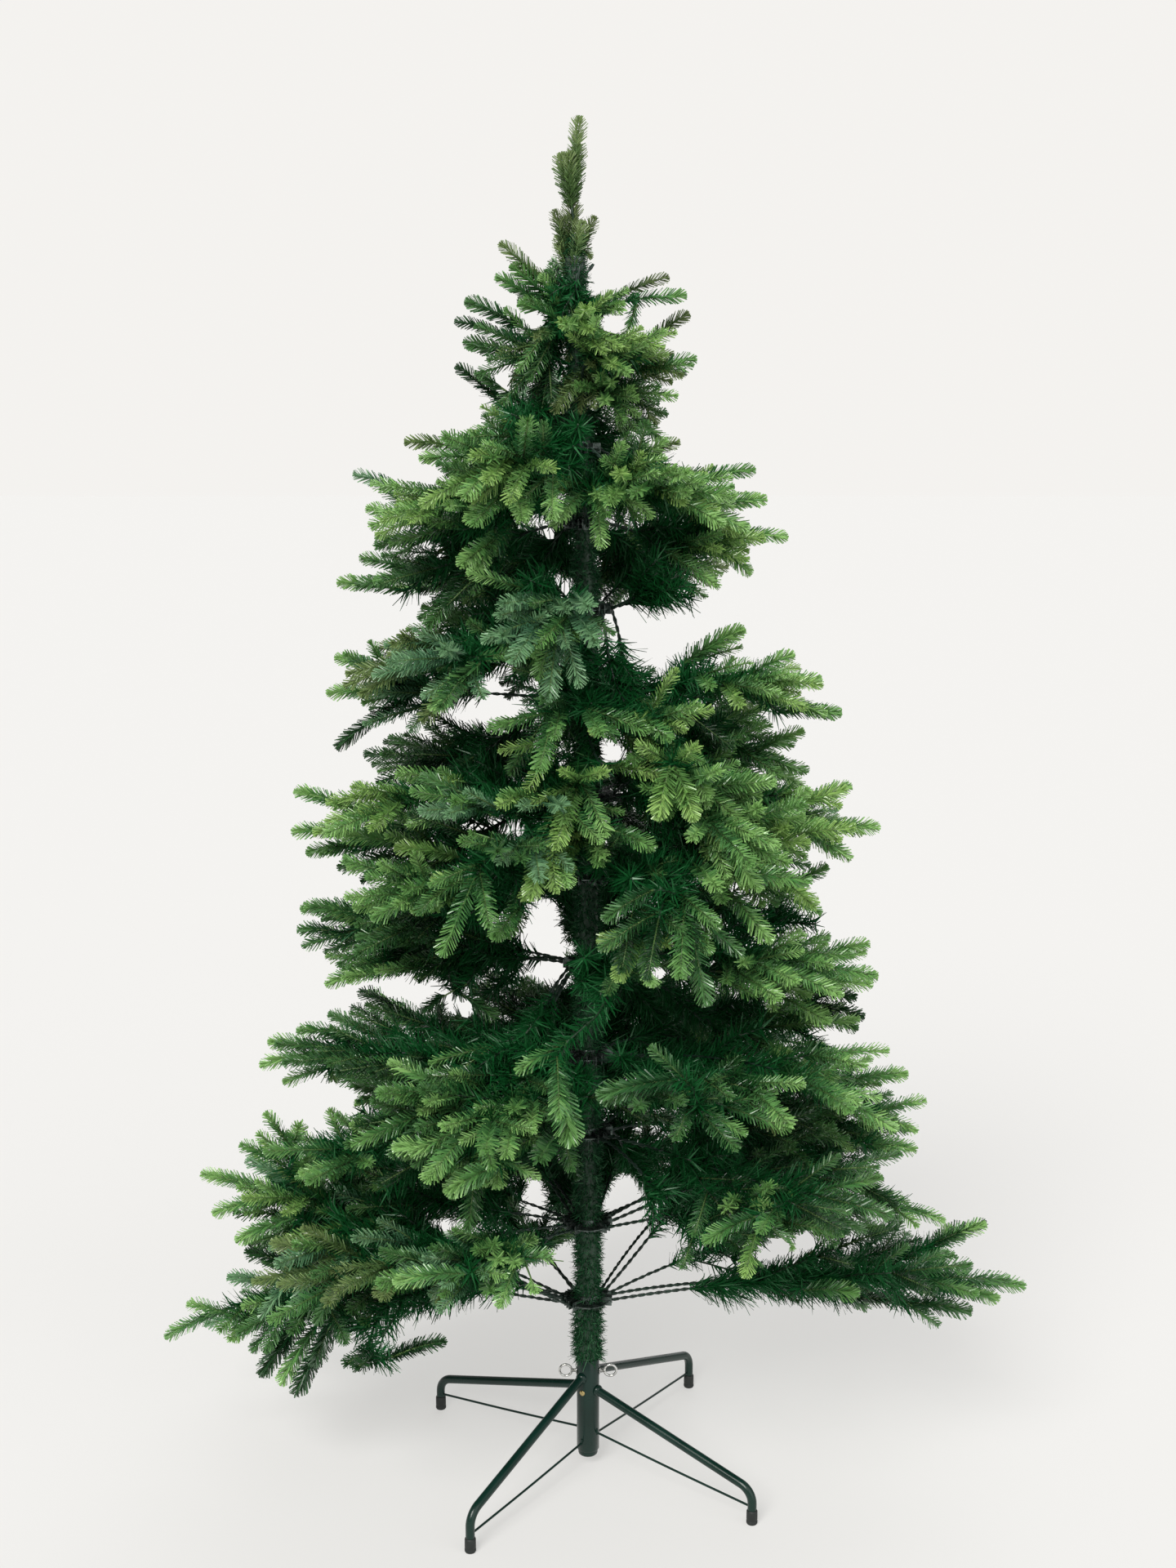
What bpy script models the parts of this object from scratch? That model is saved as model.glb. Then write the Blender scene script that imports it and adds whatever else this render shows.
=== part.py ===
"""Artificial Christmas tree, 1.8 m tall, on a four-legged folding steel stand.

Metres, +Z up, origin on the floor under the middle of the pole. Azimuths are
in degrees, counted from +X towards +Y; the front of the tree faces -Y.

The tree is built the way the real one is: a stand tube with four bent legs and
rubber feet, a pole of telescoping sections with a collar (hub) at each tier,
wire boughs hooked into the collars, and the foliage, modelled as one closed
uneven mass for each group of boughs.
"""

import math
import random

import bmesh
import bpy
from mathutils import Matrix, Vector

for old in list(bpy.data.objects):
    bpy.data.objects.remove(old, do_unlink=True)

# ---------------------------------------------------------------- dimensions
HEIGHT = 1.800              # floor to the tip of the leader
GAP = 0.0004                # clearance between neighbouring pieces

# stand
TUBE_R = 0.0155             # stand tube, outside
TUBE_BORE_R = 0.0134        # stand tube, inside
TUBE_TOP = 0.160
TUBE_FLOOR = 0.030          # bottom of the bore
TUBE_BOTTOM = 0.015
LEG_R = 0.0060
LEG_START = 0.0172          # where a leg's inner end stands off the tube's axis
LEG_REACH = 0.2646          # foot circle
LEG_BEND = 0.024            # radius of the bend above the foot
SKEW = 10.0                 # the stand is turned this far about the pole
FOOT_R = 0.0075
FOOT_H = 0.0200
STRUT_R = 0.0016
# azimuth before the skew, leg height at the axis and at the foot circle,
# strut height at the tube
LEGS = {
    "back_left": (135.0, 0.119, 0.047, 0.051),
    "back_right": (45.0, 0.140, 0.052, 0.037),
    "front_right": (-45.0, 0.119, 0.047, 0.051),
    "front_left": (-135.0, 0.140, 0.052, 0.037),
}
EYE_RING_R = 0.0083
EYE_WIRE_R = 0.0017
EYE_OUT = 0.0310            # ring centre from the axis
EYE_Z = 0.140

# pole: (lower end, radius) of each telescoping section
SECTIONS = [(TUBE_FLOOR + 0.001, 0.0130), (0.664, 0.0112), (1.250, 0.0095), (1.630, 0.0060)]
POLE_TOP = 1.745
LEAN_TOP = -0.0165          # the upper third leans this far towards -X
HUB_R = 0.0300              # collar radius up to HUB_CHANGE, then the smaller one
HUB_TOP_R = 0.0220
HUB_CHANGE = 1.250
HUB_H = 0.0180
HUBS = [0.246, 0.358, 0.489, 0.599, 0.724, 0.845, 0.951, 1.077, 1.197, 1.306, 1.400, 1.480, 1.560, 1.625]

WIRE_R = 0.0022             # bare steel wire of a bough at the hub
WIRE_TIP_R = 0.0017
WIRE_IN = 0.024             # how deep the wire runs into its foliage

# foliage: name: (azimuth from, to, lowest z, highest z, slope of both limits,
# stem z, stem r, reach, height of the furthest tip, number of tips)
TIERS = {
    "foliage_1_left": (165, 205, 0.118, 0.313, 0.00, 0.258, 0.149, 0.585, 0.190, 6),
    "foliage_1_front_left": (207, 251, 0.262, 0.440, 0.00, 0.334, 0.106, 0.385, 0.380, 5),
    "foliage_1_right": (-13, 3, 0.205, 0.322, 0.00, 0.259, 0.143, 0.595, 0.276, 4),
    "foliage_1_right_rear": (5, 34, 0.200, 0.315, 0.00, 0.283, 0.145, 0.618, 0.272, 5),
    "foliage_1_back": (38, 88, 0.165, 0.315, 0.00, 0.262, 0.190, 0.500, 0.255, 6),
    "foliage_1_back_left": (96, 150, 0.150, 0.315, 0.00, 0.262, 0.160, 0.520, 0.235, 6),
    "foliage_2_right": (-20, 33, 0.345, 0.556, -0.03, 0.378, 0.112, 0.492, 0.378, 6),
    "foliage_2_front_right": (-62, -22, 0.336, 0.556, -0.05, 0.372, 0.100, 0.405, 0.425, 5),
    "foliage_2_back": (35, 92, 0.322, 0.556, 0.00, 0.489, HUB_R, 0.495, 0.420, 6),
    "foliage_2_back_left": (94, 150, 0.322, 0.556, 0.00, 0.489, HUB_R, 0.505, 0.420, 6),
    "foliage_2_left": (152, 205, 0.322, 0.556, 0.00, 0.489, HUB_R, 0.522, 0.432, 7),
    "foliage_2_front_left": (207, 268, 0.446, 0.556, 0.06, 0.489, HUB_R, 0.450, 0.525, 5),
    "foliage_3_right": (-38, 38, 0.562, 0.815, -0.03, 0.599, HUB_R, 0.462, 0.570, 7),
    "foliage_3_back": (40, 97, 0.562, 0.800, 0.00, 0.599, HUB_R, 0.470, 0.610, 6),
    "foliage_3_back_left": (99, 155, 0.562, 0.800, 0.00, 0.724, HUB_R, 0.465, 0.620, 6),
    "foliage_3_left": (157, 205, 0.562, 0.800, 0.00, 0.724, 0.074, 0.436, 0.610, 6),
    "foliage_3_front_left": (207, 275, 0.562, 0.770, 0.06, 0.599, HUB_R, 0.490, 0.620, 6),
    "foliage_3_front_right": (277, 320, 0.562, 0.830, 0.06, 0.724, HUB_R, 0.490, 0.640, 6),
    "foliage_4_right": (-38, 38, 0.821, 1.030, 0.00, 0.951, HUB_R, 0.386, 0.910, 7),
    "foliage_4_back": (41, 139, 0.806, 0.990, 0.00, 0.845, HUB_R, 0.410, 0.900, 8),
    "foliage_4_left": (141, 207, 0.806, 1.030, 0.00, 0.845, HUB_R, 0.386, 0.915, 7),
    "foliage_4_front_left": (209, 258, 0.776, 1.010, 0.08, 0.951, HUB_R, 0.385, 0.950, 6),
    "foliage_4_front_right": (260, 320, 0.836, 1.010, 0.08, 0.951, HUB_R, 0.375, 0.960, 6),
    "foliage_5_right": (-38, 38, 1.036, 1.192, -0.02, 1.077, HUB_R, 0.332, 1.065, 6),
    "foliage_5_back": (41, 139, 0.996, 1.204, 0.00, 1.077, HUB_R, 0.345, 1.090, 7),
    "foliage_5_left": (141, 207, 1.036, 1.204, 0.00, 1.088, 0.156, 0.334, 1.085, 6),
    "foliage_5_front_left": (209, 278, 1.020, 1.196, 0.05, 1.197, HUB_R, 0.335, 1.125, 6),
    "foliage_5_front_right": (280, 320, 1.020, 1.196, 0.05, 1.077, HUB_R, 0.320, 1.100, 5),
    "foliage_6_right": (-44, 44, 1.210, 1.414, 0.00, 1.306, HUB_R, 0.258, 1.290, 7),
    "foliage_6_back": (46, 134, 1.210, 1.414, 0.00, 1.306, HUB_R, 0.285, 1.280, 7),
    "foliage_6_left": (136, 224, 1.210, 1.414, 0.00, 1.306, HUB_R, 0.316, 1.290, 8),
    "foliage_6_front": (226, 314, 1.210, 1.414, 0.05, 1.306, HUB_R, 0.290, 1.300, 7),
    "foliage_7_right": (-59, 59, 1.420, 1.652, 0.00, 1.560, HUB_R, 0.142, 1.530, 7),
    "foliage_7_back": (61, 179, 1.420, 1.652, 0.00, 1.480, HUB_R, 0.175, 1.500, 7),
    "foliage_7_left": (181, 299, 1.420, 1.652, 0.00, 1.480, HUB_R, 0.178, 1.500, 7),
}
# bare boughs between the hub collar and the foliage: hub height, azimuth, foliage
BOUGHS = {
    "bough_1_left": (0.246, 180.0, "foliage_1_left"),
    "bough_1_front_left": (0.246, 229.0, "foliage_1_front_left"),
    "bough_1_right": (0.246, -3.0, "foliage_1_right"),
    "bough_1_right_rear": (0.246, 20.0, "foliage_1_right_rear"),
    "bough_1_back": (0.246, 60.0, "foliage_1_back"),
    "bough_1_back_left": (0.246, 122.0, "foliage_1_back_left"),
    "bough_2_right": (0.358, 12.0, "foliage_2_right"),
    "bough_2_front_right": (0.358, -30.0, "foliage_2_front_right"),
}

# ----------------------------------------------------------------- materials


def material(name, colour, roughness, metallic=0.0):
    made = bpy.data.materials.new(name)
    made.use_nodes = True
    shader = made.node_tree.nodes["Principled BSDF"]
    shader.inputs["Base Color"].default_value = (*colour, 1.0)
    shader.inputs["Roughness"].default_value = roughness
    shader.inputs["Metallic"].default_value = metallic
    made.diffuse_color = (*colour, 1.0)
    return made


def enamel(name):
    return material(name, (0.006, 0.035, 0.026), 0.35)


def green(name, seed):
    tone = random.Random(seed).uniform(0.8, 1.25)
    return material(name, (0.030 * tone, 0.105 * tone, 0.036 * tone), 0.7)


# ------------------------------------------------------------------- helpers


def polar(azimuth, r, z):
    a = math.radians(azimuth)
    return Vector((r * math.cos(a), r * math.sin(a), z))


def smoothstep(x):
    x = min(1.0, max(0.0, x))
    return x * x * (3.0 - 2.0 * x)


def lean(z):
    """Sideways shift of the pole's centre at height z: straight low down."""
    return LEAN_TOP * smoothstep((z - 1.10) / 0.55) + 0.007 * smoothstep((z - 1.68) / 0.12)


def hub_radius(z):
    return HUB_R if z < HUB_CHANGE else HUB_TOP_R


def add_object(name, bm, mat, smooth_angle=None):
    bmesh.ops.recalc_face_normals(bm, faces=bm.faces)
    if bm.calc_volume(signed=True) < 0:
        bmesh.ops.reverse_faces(bm, faces=bm.faces)
    mesh = bpy.data.meshes.new(name)
    bm.to_mesh(mesh)
    bm.free()
    if smooth_angle is not None:
        mesh.shade_smooth()
        mesh.set_sharp_from_angle(angle=math.radians(smooth_angle))
    obj = bpy.data.objects.new(name, mesh)
    obj.data.materials.append(mat)
    bpy.context.scene.collection.objects.link(obj)
    return obj


def loft(bm, rings):
    """Skins closed rings of equal count, first to last, and caps both ends."""
    loops = [[bm.verts.new(p) for p in ring] for ring in rings]
    count = len(loops[0])
    for low, high in zip(loops, loops[1:]):
        for i in range(count):
            j = (i + 1) % count
            bm.faces.new((low[i], low[j], high[j], high[i]))
    bm.faces.new(list(reversed(loops[0])))
    bm.faces.new(loops[-1])


def turned(profile, sides, centre=lambda z: 0.0, turn=0.0):
    """Rings for a turned shape: profile is (radius, z), centre its x shift."""
    rings = []
    for r, z in profile:
        ring = []
        for i in range(sides):
            a = turn + 2.0 * math.pi * i / sides
            ring.append(Vector((centre(z) + r * math.cos(a), r * math.sin(a), z)))
        rings.append(ring)
    return rings


def tube_along(bm, path, radii, sides):
    """A round bar along a planar or nearly straight path."""
    rings = []
    first = (path[1] - path[0]).normalized()
    side = first.cross(Vector((0, 0, 1)))
    if side.length < 1e-4:
        side = Vector((1, 0, 0))
    side.normalize()
    for k, p in enumerate(path):
        back = path[max(k - 1, 0)]
        ahead = path[min(k + 1, len(path) - 1)]
        along = (ahead - back).normalized()
        side = (side - along * side.dot(along)).normalized()
        up = along.cross(side)
        r = radii[k] if isinstance(radii, list) else radii
        rings.append([
            p + side * (r * math.cos(2 * math.pi * i / sides)) + up * (r * math.sin(2 * math.pi * i / sides))
            for i in range(sides)
        ])
    loft(bm, rings)


def boolean(target, cutter, operation):
    modifier = target.modifiers.new(operation.lower(), "BOOLEAN")
    modifier.operation = operation
    modifier.solver = "EXACT"
    modifier.object = cutter
    cutter.hide_render = True
    cutter.display_type = "WIRE"


# --------------------------------------------------------------------- stand
TUBE_SIDES = 20
bm = bmesh.new()
loft(bm, turned([
    (0.0118, TUBE_BOTTOM), (0.0136, TUBE_BOTTOM + 0.0022), (0.0136, TUBE_BOTTOM + 0.0075),
    (TUBE_R, TUBE_BOTTOM + 0.0085), (TUBE_R, TUBE_TOP - 0.0008), (TUBE_R - 0.0006, TUBE_TOP),
    (TUBE_BORE_R + 0.0004, TUBE_TOP), (TUBE_BORE_R, TUBE_TOP - 0.0006), (TUBE_BORE_R, TUBE_FLOOR),
], TUBE_SIDES))
tube = add_object("stand_tube", bm, enamel("stand enamel"), 40)

# the holes that the two eye bolts are screwed through
for name, side in (("left", -1), ("right", 1)):
    bm = bmesh.new()
    tube_along(bm, [Vector((side * 0.009, 0, EYE_Z)), Vector((side * 0.020, 0, EYE_Z))], 0.0030 + GAP, 10)
    cutter = add_object("hole_" + name, bm, enamel("hole"))
    boolean(tube, cutter, "DIFFERENCE")

for place, (azimuth, z_axis, z_foot, z_strut) in LEGS.items():
    azimuth += SKEW

    def on_leg(r):
        return z_axis + (z_foot - z_axis) * r / LEG_REACH

    # straight run, then a bend down to the foot, with the bend's arc set
    # between the run's slope and the vertical
    slope = math.atan2(z_axis - z_foot, LEG_REACH)
    turn = math.pi / 2 - slope
    back = LEG_BEND * math.tan(turn / 2)
    path = [polar(azimuth, LEG_START, on_leg(LEG_START))]
    bend_r = LEG_REACH - back * math.cos(slope)
    bend_z = on_leg(LEG_REACH) + back * math.sin(slope)
    centre_r = bend_r - LEG_BEND * math.sin(slope)
    centre_z = bend_z - LEG_BEND * math.cos(slope)
    for k in range(6):
        a = math.pi / 2 - slope - turn * k / 5
        path.append(polar(azimuth, centre_r + LEG_BEND * math.cos(a), centre_z + LEG_BEND * math.sin(a)))
    path.append(polar(azimuth, LEG_REACH, FOOT_H + GAP))
    bm = bmesh.new()
    tube_along(bm, path, LEG_R, 10)
    add_object("leg_" + place, bm, enamel("leg enamel " + place), 40)

    bm = bmesh.new()
    loft(bm, turned([
        (FOOT_R - 0.0012, 0.0), (FOOT_R, 0.0016), (FOOT_R - 0.0002, FOOT_H - 0.0012), (FOOT_R - 0.0014, FOOT_H),
    ], 12))
    foot = add_object("foot_" + place, bm, material("rubber " + place, (0.012, 0.014, 0.013), 0.75), 40)
    foot.location = polar(azimuth, LEG_REACH, 0.0)

    bm = bmesh.new()
    start = polar(azimuth, TUBE_R + 0.0009, z_strut)
    end = polar(azimuth, LEG_REACH - LEG_R - 0.0012, FOOT_H + 0.0042)
    tube_along(bm, [start, end], STRUT_R, 6)
    add_object("strut_" + place, bm, enamel("strut enamel " + place), 40)

for name, side in (("left", -1), ("right", 1)):
    # ring of the eye bolt, standing in the XZ plane, with its screw into the tube
    ring_centre = Vector((side * EYE_OUT, 0, EYE_Z))
    bm = bmesh.new()
    around, across = 16, 6
    grid = []
    for i in range(around):
        a = 2 * math.pi * i / around
        out = Vector((math.cos(a), 0, math.sin(a)))
        grid.append([
            bm.verts.new(ring_centre + out * (EYE_RING_R + EYE_WIRE_R * math.cos(2 * math.pi * j / across))
                         + Vector((0, EYE_WIRE_R * math.sin(2 * math.pi * j / across), 0)))
            for j in range(across)
        ])
    for i in range(around):
        for j in range(across):
            bm.faces.new((grid[i][j], grid[(i + 1) % around][j], grid[(i + 1) % around][(j + 1) % across], grid[i][(j + 1) % across]))
    eye = add_object("eye_bolt_" + name, bm, material("zinc " + name, (0.62, 0.62, 0.60), 0.25, 1.0), 40)
    bm = bmesh.new()
    inner = Vector((side * (SECTIONS[0][1] + GAP), 0, EYE_Z))
    outer = Vector((side * (EYE_OUT - EYE_RING_R + 0.0006), 0, EYE_Z))
    tube_along(bm, [inner, outer], 0.0028, 10)
    screw = add_object("screw_" + name, bm, material("zinc screw " + name, (0.62, 0.62, 0.60), 0.25, 1.0))
    boolean(eye, screw, "UNION")

# ---------------------------------------------------------------------- pole
profile = []
for k, (low, r) in enumerate(SECTIONS):
    high = SECTIONS[k + 1][0] if k + 1 < len(SECTIONS) else POLE_TOP
    if k == 0:
        profile.append((r, low))
    else:
        profile.append((r, low + 0.002))
    for hub in HUBS:
        if low < hub < high:
            wide = hub_radius(hub)
            profile += [(r, hub - HUB_H / 2), (wide, hub - HUB_H / 2), (wide, hub + HUB_H / 2), (r, hub + HUB_H / 2)]
    profile.append((r if k + 1 < len(SECTIONS) else 0.0028, high))
bm = bmesh.new()
loft(bm, turned(profile, 8, centre=lean))
pole = add_object("pole", bm, material("pole enamel", (0.010, 0.050, 0.030), 0.5), 30)

# ------------------------------------------------------------------- foliage


def directions(count):
    """Points spread evenly over the unit sphere."""
    golden = math.pi * (3.0 - math.sqrt(5.0))
    found = []
    for i in range(count):
        z = 1.0 - (2.0 * i + 1.0) / count
        r = math.sqrt(1.0 - z * z)
        found.append(Vector((r * math.cos(golden * i), r * math.sin(golden * i), z)))
    return found


def star_mesh(bm, centre, rays):
    """Closed mesh through centre + length * direction for each ray. The faces
    are those of the convex hull of the directions, so none crosses another."""
    verts = [bm.verts.new(d) for d, _ in rays]
    bmesh.ops.convex_hull(bm, input=verts)
    loose = [v for v in bm.verts if not v.link_faces]
    bmesh.ops.delete(bm, geom=loose, context="VERTS")
    lengths = {tuple(round(c, 5) for c in d): length for d, length in rays}
    for v in bm.verts:
        key = tuple(round(c, 5) for c in v.co)
        v.co = centre + v.co.normalized() * lengths[key]


def spike(rays, tip_offset, spread_deg, shoulder, seed):
    """A tip that stands out of the mass, with a ring of shoulders round it."""
    length = tip_offset.length
    d = tip_offset.normalized()
    side = d.orthogonal().normalized()
    side.rotate(Matrix.Rotation(seed, 3, d))
    rays.append((d, length))
    for k in range(4):
        ring = side.copy()
        ring.rotate(Matrix.Rotation(math.pi / 2 * k, 3, d))
        out = (d + ring * math.tan(math.radians(spread_deg))).normalized()
        rays.append((out, length * shoulder))


def foliage(name, az_from, az_to, z_low, z_high, slope, stem_z, stem_r, reach, tip_z, tips, seed):
    rng = random.Random(seed)
    z_low += rng.uniform(0.0, 0.004)
    z_high -= rng.uniform(0.0, 0.005)
    middle = (az_from + az_to) / 2.0
    half = (az_to - az_from) / 2.0
    m = polar(middle, 1.0, 0.0)
    t = polar(middle + 90.0, 1.0, 0.0)
    up = Vector((0, 0, 1))
    if stem_r <= HUB_R:
        # the mass starts at the pole's collars, which lean with the pole
        stem_r = hub_radius(z_low + 0.02) + GAP + max(m.x * lean(z_low + k * (z_high - z_low) / 8) for k in range(9))
    r_c = stem_r + 0.49 * (reach - stem_r)
    z_mid = (z_low + z_high) / 2.0 + slope * r_c
    centre = m * r_c + up * (0.60 * z_mid + 0.40 * tip_z)

    # the flat limits of this mass's own space: every point stays inside them,
    # so neighbouring masses, the pole and its collars never meet
    limits = [
        (Vector((math.sin(math.radians(az_from)), -math.cos(math.radians(az_from)), 0)), -0.0012),
        (Vector((-math.sin(math.radians(az_to)), math.cos(math.radians(az_to)), 0)), -0.0012),
        (-m, -stem_r),
        (Vector((slope * m.x, slope * m.y, -1.0)), -z_low),
        (Vector((-slope * m.x, -slope * m.y, 1.0)), z_high),
    ]

    # the stem, then the tips: evenly fanned out, at heights spread by the
    # golden ratio, and shorter away from the height of the furthest one
    rays = []
    spike(rays, polar(middle, stem_r, stem_z) - centre, 13.0, 0.86, rng.uniform(0, 1.5))
    for k in range(tips):
        across = -1.0 + 2.0 * (k + 0.5) / tips
        height = (k * 0.618) % 1.0
        z = z_low + slope * reach + (0.06 + 0.88 * height) * (z_high - z_low)
        if k == tips // 2:
            across, z, r = 0.0, tip_z, reach
        else:
            fall = ((z - tip_z) / (z_high - z_low)) ** 2
            r = reach * (1.0 - 0.30 * fall - 0.10 * abs(across)) * rng.uniform(0.93, 1.0)
        azimuth = middle + across * (half - 2.5)
        spike(rays, polar(azimuth, r, z) - centre, 10.5, 0.72, rng.uniform(0, 1.5))
    used = [d for d, _ in rays]
    a = 0.51 * (reach - stem_r)
    b = 1.00 * r_c * math.tan(math.radians(min(half, 42.0)))
    h = 0.60 * (z_high - z_low)
    for d in directions(60):
        if max(d.dot(o) for o in used) > math.cos(math.radians(10.0)):
            continue
        boxy = (abs(d.dot(m) / a) ** 2.7 + abs(d.dot(t) / b) ** 2.7 + abs(d.z / h) ** 2.7) ** (1 / 2.7)
        between_tips = 0.76 if d.dot(m) > 0.35 else 1.0
        rays.append((d, between_tips / boxy * rng.uniform(0.80, 1.15)))
    kept = []
    for d, length in rays:
        for n, k in limits:
            rate = n.dot(d)
            if rate > 1e-6:
                length = min(length, (k - n.dot(centre)) / rate)
        kept.append((d, length))
    bm = bmesh.new()
    star_mesh(bm, centre, kept)
    return add_object(name, bm, green(name, seed)), middle


placed = {}
for index, (name, row) in enumerate(TIERS.items()):
    placed[name] = foliage(name, *row, seed=100 + index)

# ----------------------------------------------------------------- bare boughs
for name, (hub_z, azimuth, into) in BOUGHS.items():
    row = TIERS[into]
    stem_z, stem_r = row[5], row[6]
    mass, middle = placed[into]
    stem = polar(middle, stem_r, stem_z)
    start = polar(azimuth, HUB_R + WIRE_R + 0.0006, hub_z)
    towards = (stem - start).normalized()
    end = stem + towards * WIRE_IN
    middle_point = (start + end) / 2 + Vector((0, 0, 0.003))
    path = [start, (start + middle_point) / 2 + Vector((0, 0, 0.0012)), middle_point, stem + Vector((0, 0, 0.0006)), end]
    radii = [WIRE_R, WIRE_R, (WIRE_R + WIRE_TIP_R) / 2, WIRE_TIP_R, WIRE_TIP_R]
    bm = bmesh.new()
    tube_along(bm, path, radii, 6)
    add_object(name, bm, material("wire " + name, (0.020, 0.045, 0.035), 0.45, 0.3), 40)
    # the same wire, a little fatter and longer, cut out of the foliage
    bm = bmesh.new()
    longer = path[:-1] + [end + towards * 0.0008]
    tube_along(bm, longer, [r + 0.0007 for r in radii], 6)
    cutter = add_object("way_" + name, bm, enamel("way"))
    boolean(mass, cutter, "DIFFERENCE")

# -------------------------------------------------------------------- leader
rng = random.Random(7)
rings = []
SIDES = 10
LEADER = [
    # height, half width, number for the uneven outline
    (1.6560, 0.0200), (1.6620, 0.0290), (1.6860, 0.0270), (1.7040, 0.0215), (1.7200, 0.0135),
    (1.7340, 0.0140), (1.7500, 0.0210), (1.7640, 0.0190), (1.7780, 0.0120), (1.7920, 0.0075),
]
for z, r in LEADER:
    ring = []
    for i in range(SIDES):
        a = 2 * math.pi * i / SIDES
        wob = rng.uniform(0.84, 1.10)
        ring.append(Vector((lean(z) + r * wob * math.cos(a), r * wob * math.sin(a), z)))
    rings.append(ring)
rings.append([Vector((lean(HEIGHT) + 0.0022 * math.cos(2 * math.pi * i / SIDES),
                      0.0022 * math.sin(2 * math.pi * i / SIDES), HEIGHT)) for i in range(SIDES)])
bm = bmesh.new()
loft(bm, rings)
leader = add_object("foliage_leader", bm, green("foliage_leader", 77))
bm = bmesh.new()
loft(bm, turned([(0.0060 + GAP, 1.640), (0.0060 + GAP, 1.662), (0.0028 + 2 * GAP, POLE_TOP + 0.0006)], 10, centre=lean))
cutter = add_object("way_leader", bm, enamel("way leader"))
boolean(leader, cutter, "DIFFERENCE")
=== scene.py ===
"""Artificial christmas tree on a folding stand. Wire boughs hook into collars on
a pole that is wound with green ribbon; each bough carries cut needles along its
wires and moulded tips at their ends. Metres, +Z up."""
import math

import bpy
import numpy as np
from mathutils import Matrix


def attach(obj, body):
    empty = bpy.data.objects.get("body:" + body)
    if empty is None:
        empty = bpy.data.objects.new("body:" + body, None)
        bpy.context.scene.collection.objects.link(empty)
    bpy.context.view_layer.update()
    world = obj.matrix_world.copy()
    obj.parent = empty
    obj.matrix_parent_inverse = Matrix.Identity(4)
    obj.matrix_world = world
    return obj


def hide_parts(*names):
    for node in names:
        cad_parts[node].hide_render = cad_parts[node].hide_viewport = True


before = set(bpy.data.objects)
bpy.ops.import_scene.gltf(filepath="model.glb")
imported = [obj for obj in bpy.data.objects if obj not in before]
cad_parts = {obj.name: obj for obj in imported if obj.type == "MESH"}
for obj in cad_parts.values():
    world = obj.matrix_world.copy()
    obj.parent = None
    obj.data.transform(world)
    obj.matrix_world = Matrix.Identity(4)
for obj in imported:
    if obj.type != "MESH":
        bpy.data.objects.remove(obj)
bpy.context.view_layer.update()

# ------------------------------------------------------------------- sizes
HUBS = [0.246, 0.358, 0.489, 0.599, 0.724, 0.845, 0.951, 1.077, 1.197, 1.306, 1.400, 1.480, 1.560, 1.625]
HUB_R, HUB_TOP_R, HUB_CHANGE, HUB_H = 0.0300, 0.0220, 1.250, 0.0180
SECTIONS = [(0.031, 0.0130), (0.664, 0.0112), (1.250, 0.0095), (1.630, 0.0060)]
POLE_TOP = 1.745
TUBE_R, TUBE_BORE_R, TUBE_BOTTOM, TUBE_TOP = 0.0155, 0.0134, 0.015, 0.160
LEG_R, LEG_START, LEG_REACH, LEG_BEND, SKEW = 0.0060, 0.0172, 0.2646, 0.024, 10.0
FOOT_R, FOOT_H, STRUT_R = 0.0075, 0.0200, 0.0016
# azimuth, height at the axis, height at the foot circle, height of the strut at the tube
LEGS = {
    "back_left": (135.0, 0.119, 0.047, 0.051),
    "back_right": (45.0, 0.140, 0.052, 0.037),
    "front_right": (-45.0, 0.119, 0.047, 0.051),
    "front_left": (-135.0, 0.140, 0.052, 0.037),
}
EYE_RING_R, EYE_WIRE_R, EYE_OUT, EYE_Z = 0.0083, 0.0017, 0.0310, 0.140

TIP_PITCH = 0.0043          # from one ring of needles on a moulded tip to the next
TIP_GIRTH = 0.0138          # from a moulded tip's stem to the ends of its needles
TIP_NEEDLE_W = 0.0023
CUT_NEEDLE = 0.0300         # length of a cut needle
CUT_NEEDLE_W = 0.0027
CUT_PER_METRE = 1270

# The photograph's camera: 45 mm on a 36 mm long side, 1440 x 1920
CAMERA_AT = np.array([0.0, -2.513, 1.452])
CAMERA_DOWN = math.radians(10.92)
LENS = 45.0

# Openings through the foliage, as the photograph's camera sees them:
# centre and half sizes in its pixels
GAPS = [
    (670, 1118, 15, 17), (676, 1160, 18, 24), (690, 1196, 8, 12), (765, 1475, 21, 38), (655, 1466, 12, 22), (548, 1501, 7, 8),
    (606, 871, 32, 7), (616, 817, 14, 8), (742, 921, 22, 13), (602, 1010, 36, 9), (483, 1211, 15, 12), (545, 1219, 10, 9),
    (571, 1236, 7, 12), (876, 1187, 10, 12), (807, 1192, 8, 8), (900, 1090, 7, 8), (655, 392, 13, 9),
    (750, 397, 15, 12), (616, 468, 9, 15), (668, 655, 12, 12), (689, 722, 10, 13), (538, 676, 7, 7),
    (690, 1540, 12, 17), (776, 1512, 24, 12), (660, 1560, 26, 14), (806, 1566, 42, 14),
    (848, 1562, 13, 8), (872, 1553, 16, 9), (894, 1547, 10, 8), (936, 1539, 12, 9), (953, 1526, 14, 13), (985, 1520, 13, 12),
]

# Where the pole and the dark inside of the crown show between the front
# boughs: no tip that stands in front of them crosses these ellipses
WINDOWS = [
    (716, 1088, 22, 55), (712, 1290, 24, 115), (790, 1250, 84, 42), (785, 1402, 52, 36), (706, 890, 18, 36), (662, 1236, 44, 26),
]

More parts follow.
